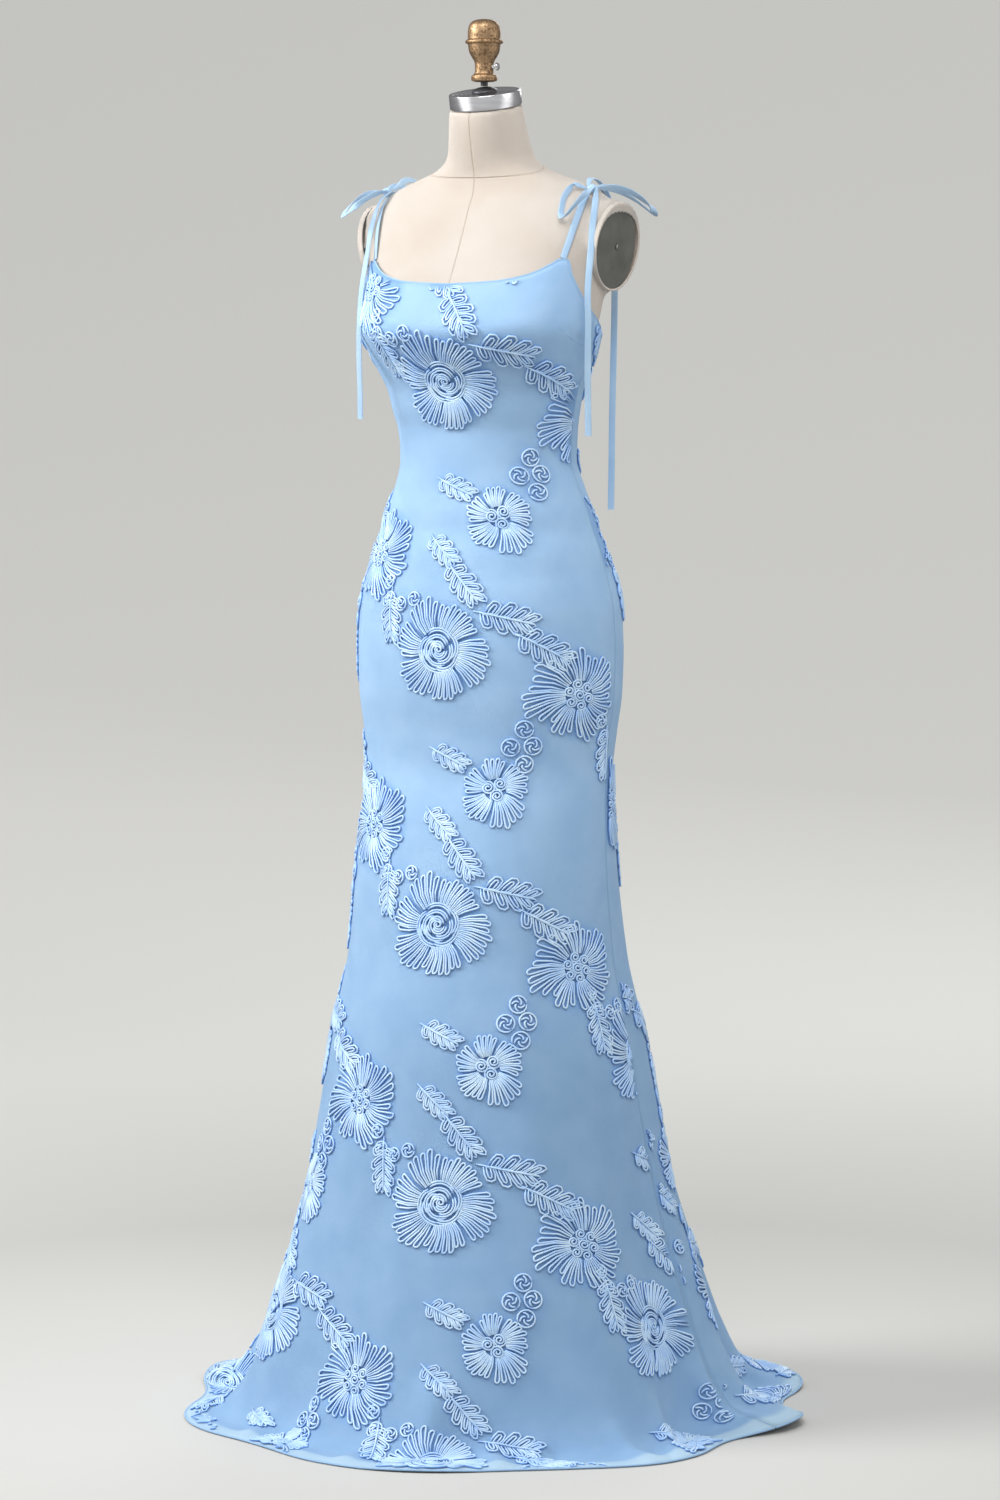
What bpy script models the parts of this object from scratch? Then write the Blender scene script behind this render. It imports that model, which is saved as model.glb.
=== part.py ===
"""Mermaid prom dress with tied shoulder straps, worn by a limbless dress form.

Metres, +Z up. The origin is the centre of the stand's underside, on the floor.
The dress faces -Y and the wearer's left is +X. Angles round the body start at
the front centre and grow towards the wearer's left.
"""
import math
from collections import namedtuple

import bmesh
import bpy
import numpy
from mathutils import Matrix, Vector
from mathutils.geometry import delaunay_2d_cdt

# ---------------------------------------------------------------- cloth
WALL = 0.0018              # thickness of the sewn cloth
SEAM_GAP = 0.0003          # between neighbouring pieces
REST_GAP = 0.0022          # between the form's surface and the cloth on it
APPLIQUE_RAISE = 0.0024    # ribbon flowers stand this far off the cloth
ANGLE_UNIT = 0.15          # metres of chart for one radian round the body
EDGE_MARGIN = 0.007        # applique points keep this far from a cut edge
FOLDED_BELOW = 0.30        # in the folds the outer face keeps every edge of the inner one

# ---------------------------------------------------------------- ties
TIE_WIDTH = 0.0075
TIE_THICK = 0.0016
TIE_PINCH = 0.45           # a tie is gathered to this much of its width at the knot
PINCH_LENGTH = 0.016
KNOT_RADIUS = 0.0068
KNOT_FLAT = 0.80           # height of the knot over its width

Section = namedtuple("Section", "height half_width half_depth centre_y power")

# Sections of the form. Power 1 is an ellipse, a smaller one is squarer.
FORM = [
    Section(0.760, 0.147, 0.100, 0.003, 1.00),
    Section(0.800, 0.153, 0.106, 0.004, 1.00),
    Section(0.846, 0.1585, 0.113, 0.005, 1.00),
    Section(0.893, 0.1595, 0.116, 0.006, 1.00),
    Section(0.940, 0.1575, 0.114, 0.006, 1.00),
    Section(0.963, 0.153, 0.1125, 0.007, 1.00),
    Section(0.986, 0.146, 0.108, 0.008, 1.00),
    Section(1.010, 0.139, 0.1035, 0.008, 1.00),
    Section(1.033, 0.130, 0.0945, 0.008, 1.00),
    Section(1.056, 0.123, 0.090, 0.006, 1.00),
    Section(1.079, 0.114, 0.0835, 0.005, 1.00),
    Section(1.115, 0.104, 0.079, 0.002, 1.00),
    Section(1.149, 0.106, 0.078, 0.000, 1.00),
    Section(1.172, 0.111, 0.0805, -0.004, 1.00),
    Section(1.195, 0.116, 0.083, -0.006, 1.00),
    Section(1.219, 0.126, 0.091, -0.009, 1.00),
    Section(1.242, 0.134, 0.100, -0.014, 1.00),
    Section(1.265, 0.141, 0.107, -0.018, 0.98),
    Section(1.290, 0.143, 0.101, -0.011, 0.93),
    Section(1.320, 0.145, 0.091, -0.001, 0.88),
    Section(1.350, 0.147, 0.083, 0.009, 0.84),
    Section(1.380, 0.148, 0.075, 0.017, 0.82),
    Section(1.404, 0.146, 0.067, 0.021, 0.84),
    Section(1.419, 0.138, 0.058, 0.022, 0.90),
    Section(1.430, 0.120, 0.053, 0.020, 0.94),
    Section(1.440, 0.094, 0.050, 0.018, 0.97),
    Section(1.450, 0.068, 0.048, 0.014, 1.00),
    Section(1.464, 0.052, 0.047, 0.009, 1.00),
    Section(1.495, 0.0455, 0.0455, 0.001, 1.00),
    Section(1.5215, 0.0425, 0.0425, -0.004, 1.00),
]

# The skirt's inner face below the hips, down to the hem that lies on the floor.
SKIRT = [
    Section(0.760, 0.1515, 0.1050, 0.002, 1.00),
    Section(0.700, 0.1530, 0.1180, -0.002, 1.00),
    Section(0.634, 0.1560, 0.1350, -0.003, 1.00),
    Section(0.540, 0.1635, 0.1540, 0.000, 1.00),
    Section(0.445, 0.1830, 0.1780, 0.000, 1.00),
    Section(0.350, 0.2000, 0.1960, 0.001, 1.00),
    Section(0.255, 0.2180, 0.2150, 0.002, 1.00),
    Section(0.160, 0.2440, 0.2430, 0.004, 1.00),
    Section(0.080, 0.2680, 0.2680, 0.006, 1.00),
    Section(0.032, 0.2850, 0.2860, 0.008, 1.00),
    Section(0.009, 0.3000, 0.3030, 0.010, 1.00),
    Section(0.000, 0.3180, 0.3230, 0.012, 1.00),
    Section(0.000, 0.3560, 0.3640, 0.014, 1.00),
]
SKIRT_STARTS = 0.780       # below this height the cloth leaves the form

# Top edge of the dress: angle from the front centre, height.
TopEdge = namedtuple("TopEdge", "degrees height")
TOP_EDGE = [
    TopEdge(0, 1.3160), TopEdge(20, 1.3190), TopEdge(36, 1.3270), TopEdge(47, 1.3390),
    TopEdge(51, 1.3440), TopEdge(56, 1.3440), TopEdge(62, 1.3270), TopEdge(75, 1.3010),
    TopEdge(90, 1.2810), TopEdge(105, 1.2690), TopEdge(120, 1.2640), TopEdge(150, 1.2620),
    TopEdge(180, 1.2610),
]

# Soft bust: height and spread of the two cups over the sections above.
BUST_HEIGHT = 1.258
BUST_SPREAD = 0.040
BUST_ANGLE = 36.0
BUST_WIDTH = 27.0
BUST_DEPTH = 0.0070

# Long folds of the flared skirt. A negative depth is a trough.
Fold = namedtuple("Fold", "degrees width top depth lift")
FOLDS = [
    Fold(-168, 10, 0.42, 0.022, 0.014),
    Fold(-146, 9, 0.36, -0.016, 0.000),
    Fold(-127, 9, 0.46, 0.024, 0.016),
    Fold(-106, 8, 0.34, -0.015, 0.000),
    Fold(-88, 9, 0.40, 0.020, 0.019),
    Fold(-66, 8, 0.30, -0.013, 0.000),
    Fold(-45, 10, 0.34, 0.012, 0.000),
    Fold(-22, 9, 0.26, -0.009, 0.000),
    Fold(6, 13, 0.30, 0.010, 0.000),
    Fold(34, 10, 0.24, -0.008, 0.000),
    Fold(60, 9, 0.36, 0.013, 0.000),
    Fold(80, 7, 0.38, -0.014, 0.000),
    Fold(97, 8, 0.46, 0.023, 0.020),
    Fold(114, 8, 0.36, -0.016, 0.000),
    Fold(133, 9, 0.44, 0.022, 0.015),
    Fold(153, 9, 0.34, -0.015, 0.000),
    Fold(172, 9, 0.40, 0.018, 0.012),
]

# Flower repeat on the flat cloth: a half-drop of one group of motifs.
REPEAT_WIDTH = 0.268
REPEAT_DROP = 0.158
REPEAT_HEIGHT = 0.3155
FRONT_REPEAT_START = (-0.002, 0.147)    # a rose near the front centre, under the neckline
BACK_REPEAT_START = (-0.105, 0.120)
REPEAT_SWING = 0.050       # the flared skirt's grain swings this far at SWING_AT
SWING_FROM = 0.46
SWING_AT = 1.09

Motif = namedtuple("Motif", "kind across down radius turn")
REPEAT = [
    Motif("rose", 0.000, 0.000, 0.060, 8),
    Motif("daisy", 0.163, 0.050, 0.055, 20),
    Motif("blossom", 0.060, 0.160, 0.040, 35),
    Motif("curls", 0.102, 0.104, 0.026, 30),
    Motif("leaf", -0.004, -0.118, 0.030, -80),
    Motif("leaf", 0.078, -0.050, 0.036, 12),
    Motif("leaf", 0.012, 0.122, 0.028, 205),
    Motif("leaf", 0.196, 0.118, 0.028, 75),
]
Outline = namedtuple("Outline", "lobes points notch squash inner")
OUTLINES = {
    "rose": Outline(5, 10, 0.82, 1.00, 5),
    "daisy": Outline(5, 10, 0.76, 1.00, 0),
    "blossom": Outline(4, 8, 0.78, 1.00, 0),
    "curls": Outline(3, 6, 0.80, 1.00, 0),
    "leaf": Outline(1, 6, 1.00, 0.52, 0),
}


# ================================================================ small tools
def smooth_through(places, values):
    """Monotone cubic curve through the table's values."""
    steps = [b - a for a, b in zip(places, places[1:])]
    slopes = [(b - a) / step for a, b, step in zip(values, values[1:], steps)]
    tangents = [slopes[0]]
    for before, after in zip(slopes, slopes[1:]):
        level = before * after <= 0
        tangents.append(0.0 if level else 2 * before * after / (before + after))
    tangents.append(slopes[-1])

    def value(place):
        place = min(max(place, places[0]), places[-1])
        row = 0
        while row < len(steps) - 1 and place > places[row + 1]:
            row += 1
        part = (place - places[row]) / steps[row]
        rise = values[row + 1] - values[row]
        start = tangents[row] * steps[row]
        end = tangents[row + 1] * steps[row]
        return values[row] + part * (start + part * (3 * rise - 2 * start - end
                                                     + part * (start + end - 2 * rise)))
    return value


def bump(distance, width):
    """Soft hill of height 1 that ends at twice its half width."""
    part = min(abs(distance) / (2 * width), 1.0)
    return (0.5 + 0.5 * math.cos(math.pi * part)) ** 1.2


def angle_between(first, second):
    """Signed turn between two angles, in degrees, within half a turn."""
    return (first - second + 180.0) % 360.0 - 180.0


def signed_power(value, power):
    return math.copysign(abs(value) ** power, value)


def material(name, colour, roughness, metallic=0.0):
    surface = bpy.data.materials.new(name)
    surface.use_nodes = True
    shader = surface.node_tree.nodes["Principled BSDF"]
    shader.inputs["Base Color"].default_value = (*colour, 1.0)
    shader.inputs["Roughness"].default_value = roughness
    shader.inputs["Metallic"].default_value = metallic
    surface.diffuse_color = (*colour, 1.0)
    return surface


def add_object(name, mesh_work, surface, sharp_degrees=40):
    """Turn a finished bmesh into a named, smooth shaded object."""
    bmesh.ops.recalc_face_normals(mesh_work, faces=mesh_work.faces)
    mesh = bpy.data.meshes.new(name)
    mesh_work.to_mesh(mesh)
    mesh_work.free()
    mesh.materials.append(surface)
    mesh.shade_smooth()
    mesh.set_sharp_from_angle(angle=math.radians(sharp_degrees))
    item = bpy.data.objects.new(name, mesh)
    bpy.context.scene.collection.objects.link(item)
    return item


def loft(rings):
    """Closed solid through rings of points, with a flat cap at each end."""
    work = bmesh.new()
    loops = [[work.verts.new(point) for point in ring] for ring in rings]
    for lower, upper in zip(loops, loops[1:]):
        for here in range(len(lower)):
            after = (here + 1) % len(lower)
            work.faces.new((lower[here], lower[after], upper[after], upper[here]))
    work.faces.new(list(reversed(loops[0])))
    work.faces.new(loops[-1])
    return work


def turned(profile, sides):
    """Solid of revolution about Z from (radius, height) points, bottom to top."""
    rings = []
    for radius, height in profile:
        turn = [math.tau * side / sides for side in range(sides)]
        rings.append([(radius * math.cos(a), radius * math.sin(a), height) for a in turn])
    return loft(rings)


# ================================================================ body surface
def column(rows, name):
    return smooth_through([row.height for row in rows], [getattr(row, name) for row in rows])


FORM_HALF_WIDTH = column(FORM, "half_width")
FORM_HALF_DEPTH = column(FORM, "half_depth")
FORM_CENTRE = column(FORM, "centre_y")
FORM_POWER = column(FORM, "power")


def bust_swell(degrees, height):
    """The cups stand out over the plain sections."""
    across = angle_between(abs(degrees), BUST_ANGLE) / BUST_WIDTH
    upright = (height - BUST_HEIGHT) / BUST_SPREAD
    return BUST_DEPTH * math.exp(-across * across - upright * upright)


def section_point(degrees, height, half_width, half_depth, centre_y, power):
    angle = math.radians(degrees)
    out = bust_swell(degrees, height)
    across = (half_width + out) * signed_power(math.sin(angle), power)
    forward = (half_depth + out) * signed_power(math.cos(angle), power)
    return Vector((across, centre_y - forward, height))


def form_point(degrees, height):
    return section_point(degrees, height, FORM_HALF_WIDTH(height), FORM_HALF_DEPTH(height),
                         FORM_CENTRE(height), FORM_POWER(height))


# ================================================================ dress surface
def dress_sections():
    worn = [row for row in FORM if SKIRT_STARTS < row.height < 1.37]
    grown = [row._replace(half_width=row.half_width + REST_GAP,
                          half_depth=row.half_depth + REST_GAP) for row in reversed(worn)]
    return grown + SKIRT


DRESS = dress_sections()


def profile_lengths():
    """Length of cloth from the top section down to each section."""
    lengths = [0.0]
    for above, below in zip(DRESS, DRESS[1:]):
        flare = (below.half_width + below.half_depth - above.half_width - above.half_depth) / 2
        lengths.append(lengths[-1] + math.hypot(above.height - below.height, flare))
    return lengths


DOWN = profile_lengths()
HEM = DOWN[-1]
FLOOR_STARTS = DOWN[-2]
DRESS_HEIGHT = smooth_through(DOWN, [row.height for row in DRESS])
DRESS_HALF_WIDTH = smooth_through(DOWN, [row.half_width for row in DRESS])
DRESS_HALF_DEPTH = smooth_through(DOWN, [row.half_depth for row in DRESS])
DRESS_CENTRE = smooth_through(DOWN, [row.centre_y for row in DRESS])
DRESS_POWER = smooth_through(DOWN, [row.power for row in DRESS])
TOP_HEIGHT = smooth_through([row.degrees for row in TOP_EDGE], [row.height for row in TOP_EDGE])


def fold_shape(degrees, down):
    """Outward move and lift of the cloth in the skirt's folds."""
    height = DRESS_HEIGHT(down)
    out = lift = 0.0
    for fold in FOLDS:
        hill = bump(angle_between(degrees, fold.degrees), fold.width)
        if hill <= 0 or height >= fold.top:
            continue
        fall = 1 - height / fold.top
        out += hill * fold.depth * fall ** 1.4
        lift += hill * fold.lift * max(0.0, 1 - height / 0.10)
    to_edge = max(0.0, (down - FLOOR_STARTS) / (HEM - FLOOR_STARTS))
    return out, lift * (1 - 0.55 * to_edge)


def inner_point(degrees, down):
    """Point on the cloth's inner face: angle round the body, length down the cloth."""
    out, lift = fold_shape(degrees, down)
    height = DRESS_HEIGHT(down)
    point = section_point(degrees, height, DRESS_HALF_WIDTH(down) + out,
                          DRESS_HALF_DEPTH(down) + out, DRESS_CENTRE(down), DRESS_POWER(down))
    point.z += lift
    return point


def cloth_normal(degrees, down):
    turn, step = 1.2, 0.004
    around = inner_point(degrees + turn, down) - inner_point(degrees - turn, down)
    along = inner_point(degrees, min(down + step, HEM)) - inner_point(degrees, down - step)
    return along.cross(around).normalized()


def top_down(degrees):
    """Length down the cloth at which the top edge lies."""
    height = TOP_HEIGHT(abs(degrees))
    low, high = 0.0, 0.20
    for _ in range(30):
        middle = (low + high) / 2
        if DRESS_HEIGHT(middle) > height:
            low = middle
        else:
            high = middle
    return low


def stretch_round(degrees, down):
    """Metres of cloth for one degree round the body, folds left out."""
    angle = math.radians(degrees)
    across = DRESS_HALF_WIDTH(down) * math.cos(angle)
    forward = DRESS_HALF_DEPTH(down) * math.sin(angle)
    return math.radians(math.hypot(across, forward))


def degrees_at(cloth_across, down, start_degrees):
    """Angle reached after this much cloth, counted from a panel's own middle line."""
    degrees = start_degrees
    left = abs(cloth_across)
    step = math.copysign(2.0, cloth_across)
    while left > 0:
        cloth = 2.0 * stretch_round(degrees, down)
        part = min(1.0, left / cloth)
        degrees += step * part
        left -= cloth * part if part == 1.0 else left
    return degrees


# ================================================================ applique
def motif_outline(motif, scale=1.0):
    """Outline of a motif about its centre, in metres across and down."""
    form = OUTLINES[motif.kind]
    points = []
    for number in range(form.points):
        angle = math.tau * number / form.points
        is_tip = (number * form.lobes * 2 // form.points) % 2 == 0 or form.lobes == 1
        radius = motif.radius * (1.0 if is_tip else form.notch) * scale
        points.append(Vector((radius * math.cos(angle), radius * math.sin(angle) * form.squash)))
    turn = Matrix.Rotation(math.radians(motif.turn), 2)
    return [turn @ point for point in points]


def motif_height(motif, across, down):
    """How far the ribbon stands off the cloth at a place near a motif's centre."""
    form = OUTLINES[motif.kind]
    local = Matrix.Rotation(-math.radians(motif.turn), 2) @ Vector((across, down))
    angle = math.atan2(local.y / form.squash, local.x)
    distance = math.hypot(local.x, local.y / form.squash)
    if form.lobes > 1:
        wave = 0.5 + 0.5 * math.cos(form.lobes * angle)
        distance /= motif.radius * (form.notch + (1 - form.notch) * wave)
    else:
        distance /= motif.radius
    return APPLIQUE_RAISE * min(1.0, max(0.0, (1.0 - distance) / 0.42))


def repeat_swing(down):
    """Shift of the repeat to the wearer's left where the skirt is cut with flare."""
    return REPEAT_SWING * (max(0.0, down - SWING_FROM) / (SWING_AT - SWING_FROM)) ** 1.6


def placed_motifs(start, middle_degrees, lowest, highest):
    """Motifs of the repeat on one panel, as (motif, angle, length down, cloth per degree)."""
    placed = []
    for step_across in range(-4, 5):
        for step_down in range(-3, 7):
            left = start[0] + step_across * REPEAT_WIDTH
            top = start[1] + step_down * REPEAT_HEIGHT - (step_across % 2) * REPEAT_DROP
            for motif in REPEAT:
                down = top + motif.down
                if not 0.02 < down < HEM - 0.03:
                    continue
                degrees = degrees_at(left + motif.across + repeat_swing(down), down, middle_degrees)
                if lowest < degrees < highest:
                    placed.append((motif, degrees, down, stretch_round(degrees, down)))
    return placed


# ================================================================ panels
def to_chart(degrees, down):
    return Vector((math.radians(degrees) * ANGLE_UNIT, down))


def from_chart(point):
    return math.degrees(point[0] / ANGLE_UNIT), point[1]


def grid_levels():
    """Lengths down the cloth of the rows of points, closer over the bust and the folds."""
    levels = []
    down = 0.010
    while down < HEM - 0.012:
        levels.append(down)
        height = DRESS_HEIGHT(down)
        if height > 1.20:
            down += 0.025
        elif height > 0.40:
            down += 0.048
        elif height > 0.12:
            down += 0.042
        else:
            down += 0.026
    return levels


def columns_between(lowest, highest, height):
    """Angles of the columns of points across a panel at one height."""
    spacing = 9.0 if height > 1.20 else 11.25 if height > 0.42 else 9.0 if height > 0.28 else 6.43
    count = round((highest - lowest) / spacing)
    return [lowest + (highest - lowest) * number / count for number in range(count + 1)]


def panel_outline(lowest, highest):
    """Boundary of a panel in angle and length down, and its seam levels."""
    levels = grid_levels()
    top = [row.degrees for row in TOP_EDGE]
    top = sorted(set(top + [-angle for angle in top]))
    extra = [angle / 2 for angle in range(-360, 361, 22)]
    between = [angle for angle in top if lowest + 3 < angle < highest - 3]
    between += [angle for angle in extra if lowest + 3 < angle < highest - 3
                and min(abs(angle - other) for other in top) > 4]
    between.sort()
    hem = columns_between(lowest, highest, 0.0)
    outline = [(lowest, top_down(lowest))]
    outline += [(angle, top_down(angle)) for angle in between]
    outline += [(highest, top_down(highest))]
    outline += [(highest, down) for down in levels if down > top_down(highest) + 0.008]
    outline += [(angle, HEM) for angle in reversed(hem)]
    outline += [(lowest, down) for down in reversed(levels) if down > top_down(lowest) + 0.008]
    return outline


def inside_points(lowest, highest):
    points = []
    for down in grid_levels():
        for degrees in columns_between(lowest, highest, DRESS_HEIGHT(down))[1:-1]:
            if down > top_down(degrees) + 0.009 and down < HEM - 0.011:
                points.append((degrees, down))
    return points


def triangles_of(points, edges):
    """Constrained triangles in the chart, with the input number of each output point."""
    found, _, faces, sources, _, _ = delaunay_2d_cdt(points, edges, [], 1, 1e-6)
    numbers = [source[0] if source else -1 for source in sources]
    return found, [tuple(face) for face in faces], numbers


def barycentric_table(places, corners):
    """For each place, the triangle that holds it and the weights of its corners."""
    origin = corners[:, 0]
    first = corners[:, 1] - origin
    second = corners[:, 2] - origin
    area = first[:, 0] * second[:, 1] - first[:, 1] * second[:, 0]
    result = []
    for place in places:
        offset = place - origin
        one = (offset[:, 0] * second[:, 1] - offset[:, 1] * second[:, 0]) / area
        two = (first[:, 0] * offset[:, 1] - first[:, 1] * offset[:, 0]) / area
        least = numpy.minimum(numpy.minimum(one, two), 1 - one - two)
        best = int(least.argmax())
        result.append((best, (1 - one[best] - two[best], one[best], two[best])))
    return result


def applique_points(placed, lowest, highest):
    """Chart points and edges of the motifs that lie clear of the panel's cut edges."""
    points, edges = [], []

    def is_clear(degrees, down):
        margin = EDGE_MARGIN / stretch_round(degrees, down)
        if not lowest + margin < degrees < highest - margin:
            return False
        return top_down(degrees) + EDGE_MARGIN < down < HEM - EDGE_MARGIN

    for motif, degrees, down, cloth in placed:
        form = OUTLINES[motif.kind]
        rings = [motif_outline(motif)]
        if form.inner:
            rings.append(motif_outline(motif, 0.56)[::form.points // form.inner])
        rings.append([Vector((0.0, 0.0))])
        for ring in rings:
            numbers = []
            for offset in ring:
                at = (degrees + offset.x / cloth, down + offset.y)
                clear = is_clear(*at)
                numbers.append(len(points) if clear else None)
                if clear:
                    points.append(to_chart(*at))
            if len(ring) > 1:
                pairs = zip(numbers, numbers[1:] + numbers[:1])
                edges += [(a, b) for a, b in pairs if a is not None and b is not None]
    return points, edges


def applique_height(placed, degrees, down):
    height = 0.0
    for motif, centre, level, cloth in placed:
        if abs(down - level) < 0.07 and abs(degrees - centre) * cloth < 0.07:
            height = max(height, motif_height(motif, (degrees - centre) * cloth, down - level))
    return height


def make_panel(name, lowest, highest, repeat_start, middle_degrees, surface):
    """One cloth panel: a plain inner face, an outer face with raised flowers, and its edges."""
    outline = panel_outline(lowest, highest)
    places = outline + inside_points(lowest, highest)
    rim = [(number, (number + 1) % len(outline)) for number in range(len(outline))]
    chart, faces, numbers = triangles_of([to_chart(*place) for place in places], rim)

    def seam_place(degrees, down):
        gap = SEAM_GAP / 2 / stretch_round(degrees, down)
        return min(max(degrees, lowest + gap), highest - gap), down

    inner, normals = [], []
    for point in chart:
        degrees, down = seam_place(*from_chart(point))
        inner.append(inner_point(degrees, down))
        normals.append(cloth_normal(degrees, down))

    placed = placed_motifs(repeat_start, middle_degrees, lowest, highest)
    raised, ring_edges = applique_points(placed, lowest, highest)
    folded = [face for face in faces if min(inner[corner].z for corner in face) < FOLDED_BELOW]
    base_edges = {tuple(sorted((face[i], face[i - 1]))) for face in folded for i in range(3)}
    inner_rim = boundary_loop(faces)
    base_edges |= {tuple(sorted(edge)) for edge in zip(inner_rim, inner_rim[1:] + inner_rim[:1])}
    shift = len(chart)
    edges = list(base_edges) + [(a + shift, b + shift) for a, b in ring_edges]
    outer_chart, outer_faces, _ = triangles_of(list(chart) + raised, edges)

    corners = numpy.array([[chart[corner][:] for corner in face] for face in faces])
    table = barycentric_table(numpy.array([point[:] for point in outer_chart]), corners)
    on_rim = {tuple(round(value, 7) for value in to_chart(*place)) for place in outline}
    outer = []
    for point, (face, weights) in zip(outer_chart, table):
        ground = sum((inner[c] * w for c, w in zip(faces[face], weights)), Vector())
        normal = sum((normals[c] * w for c, w in zip(faces[face], weights)), Vector())
        height = 0.0
        if tuple(round(value, 7) for value in point) not in on_rim:
            height = applique_height(placed, *from_chart(point))
        outer.append(ground + normal.normalized() * (WALL + height))

    work = bmesh.new()
    inner_verts = [work.verts.new(point) for point in inner]
    outer_verts = [work.verts.new(point) for point in outer]
    for face in faces:
        work.faces.new([inner_verts[corner] for corner in face])
    for face in outer_faces:
        work.faces.new([outer_verts[corner] for corner in reversed(face)])
    outer_rim = boundary_loop(outer_faces)
    start = min(range(len(outer_rim)),
                key=lambda place: (outer_chart[outer_rim[place]] - chart[inner_rim[0]]).length)
    outer_rim = outer_rim[start:] + outer_rim[:start]
    for place in range(len(inner_rim)):
        after = (place + 1) % len(inner_rim)
        work.faces.new((inner_verts[inner_rim[place]], inner_verts[inner_rim[after]],
                        outer_verts[outer_rim[after]], outer_verts[outer_rim[place]]))
    return add_object(name, work, surface, 60)


def boundary_loop(faces):
    """Points of a sheet's edge, in order."""
    once = {}
    for face in faces:
        for here in range(3):
            edge = (face[here], face[(here + 1) % 3])
            if (edge[1], edge[0]) in once:
                del once[(edge[1], edge[0])]
            else:
                once[edge] = True
    follow = dict(once.keys())
    first = min(follow)
    loop = [first]
    while follow[loop[-1]] != first:
        loop.append(follow[loop[-1]])
    return loop


# ================================================================ dress form
PLATE_X = 0.1545           # outer face of an arm plate at its centre
PLATE_Y = 0.025
PLATE_HEIGHT = 1.360
PLATE_HALF = (0.048, 0.051)
PLATE_THICK = 0.003
PLATE_TILT = 8.0           # the plate's top stands out further than its bottom
STUB_RIM = 0.0025
BOLT_RADIUS = 0.0035
BOLT_HIGH = 0.0018

CAP_RADIUS = 0.0418
CAP_HIGH = 0.0175
NECK_TILT = 11.0           # the neck's top leans to the front
NECK_TOP = Vector((0.0, -0.004, 1.5215))
WASHER_RADIUS = 0.0150
WASHER_HIGH = 0.0055
STEM_RADIUS = 0.0042
FINIAL_BASE = 1.5500
SCREW_HEIGHT = 1.5670
SCREW_RADIUS = 0.0020
SCREW_CLEAR = 0.0003
SCREW_HEAD = 0.0046

POLE_RADIUS = 0.0160
BASE_RADIUS = 0.1650
BASE_HIGH = 0.0140
FORM_BOTTOM = FORM[0].height
FORM_SIDES = 32
FORM_SKIPPED = (0.963, 1.010, 1.056, 1.172, 1.242)
FORM_LEVELS = [row.height for row in FORM if row.height not in FORM_SKIPPED]

# Finial profile: radius, height over its underside.
FINIAL = [
    (0.0110, 0.0000), (0.0146, 0.0012), (0.0151, 0.0040), (0.0146, 0.0068), (0.0116, 0.0092),
    (0.0108, 0.0120), (0.0108, 0.0200), (0.0118, 0.0236), (0.0150, 0.0290), (0.0176, 0.0345),
    (0.0186, 0.0410), (0.0216, 0.0440), (0.0219, 0.0458), (0.0212, 0.0474), (0.0188, 0.0486),
    (0.0186, 0.0540), (0.0172, 0.0620), (0.0130, 0.0686), (0.0070, 0.0712), (0.0020, 0.0718),
]


def stub_matrix(side, distance):
    """Place on the arm's axis, turned so that +Z points out of the arm."""
    lean = Matrix.Rotation(side * math.radians(90 + PLATE_TILT), 4, "Y")
    turn = Matrix.Translation((side * PLATE_X, PLATE_Y, PLATE_HEIGHT)) @ lean
    return turn @ Matrix.Translation((0.0, 0.0, distance))


def oval(half_y, half_z, low, high, sides, bevel=0.0):
    """Low oval disc about the arm's axis."""
    profile = [(1.0, low), (1.0, high)]
    if bevel:
        profile = [(1 - bevel, low), (1.0, low + bevel * half_y), (1.0, high - bevel * half_y),
                   (1 - bevel, high)]
    work = turned(profile, sides)
    bmesh.ops.scale(work, vec=(half_z, half_y, 1.0), verts=work.verts)
    return work


def make_torso(surface):
    rings = []
    for height in FORM_LEVELS:
        turn = [360.0 * side / FORM_SIDES for side in range(FORM_SIDES)]
        rings.append([form_point(angle, height) for angle in turn])
    lean = Matrix.Rotation(math.radians(NECK_TILT), 4, "X")
    tilt = Matrix.Translation(NECK_TOP) @ lean @ Matrix.Translation(-NECK_TOP)
    rings[-1] = [tilt @ point for point in rings[-1]]
    torso = add_object("torso", loft(rings), surface, 50)
    for side in (1, -1):
        half_y, half_z = (half + STUB_RIM for half in PLATE_HALF)
        work = oval(half_y, half_z, -0.075, -PLATE_THICK - SEAM_GAP, 24)
        bmesh.ops.transform(work, matrix=stub_matrix(side, 0.0), verts=work.verts)
        stub = add_object("stub_shape", work, surface)
        stub.hide_render = True
        stub.display_type = "WIRE"
        join = torso.modifiers.new("arm stub", "BOOLEAN")
        join.operation = "UNION"
        join.solver = "EXACT"
        join.object = stub
    return torso


def make_arm(side, word, plate_surface, bolt_surface):
    work = oval(*PLATE_HALF, -PLATE_THICK, 0.0, 24, 0.02)
    bmesh.ops.transform(work, matrix=stub_matrix(side, 0.0), verts=work.verts)
    add_object("arm_plate_" + word, work, plate_surface)
    work = turned([(BOLT_RADIUS, 0.0), (BOLT_RADIUS, BOLT_HIGH * 0.6),
                   (BOLT_RADIUS * 0.6, BOLT_HIGH)], 12)
    bmesh.ops.transform(work, matrix=stub_matrix(side, SEAM_GAP), verts=work.verts)
    add_object("plate_bolt_" + word, work, bolt_surface)


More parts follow.
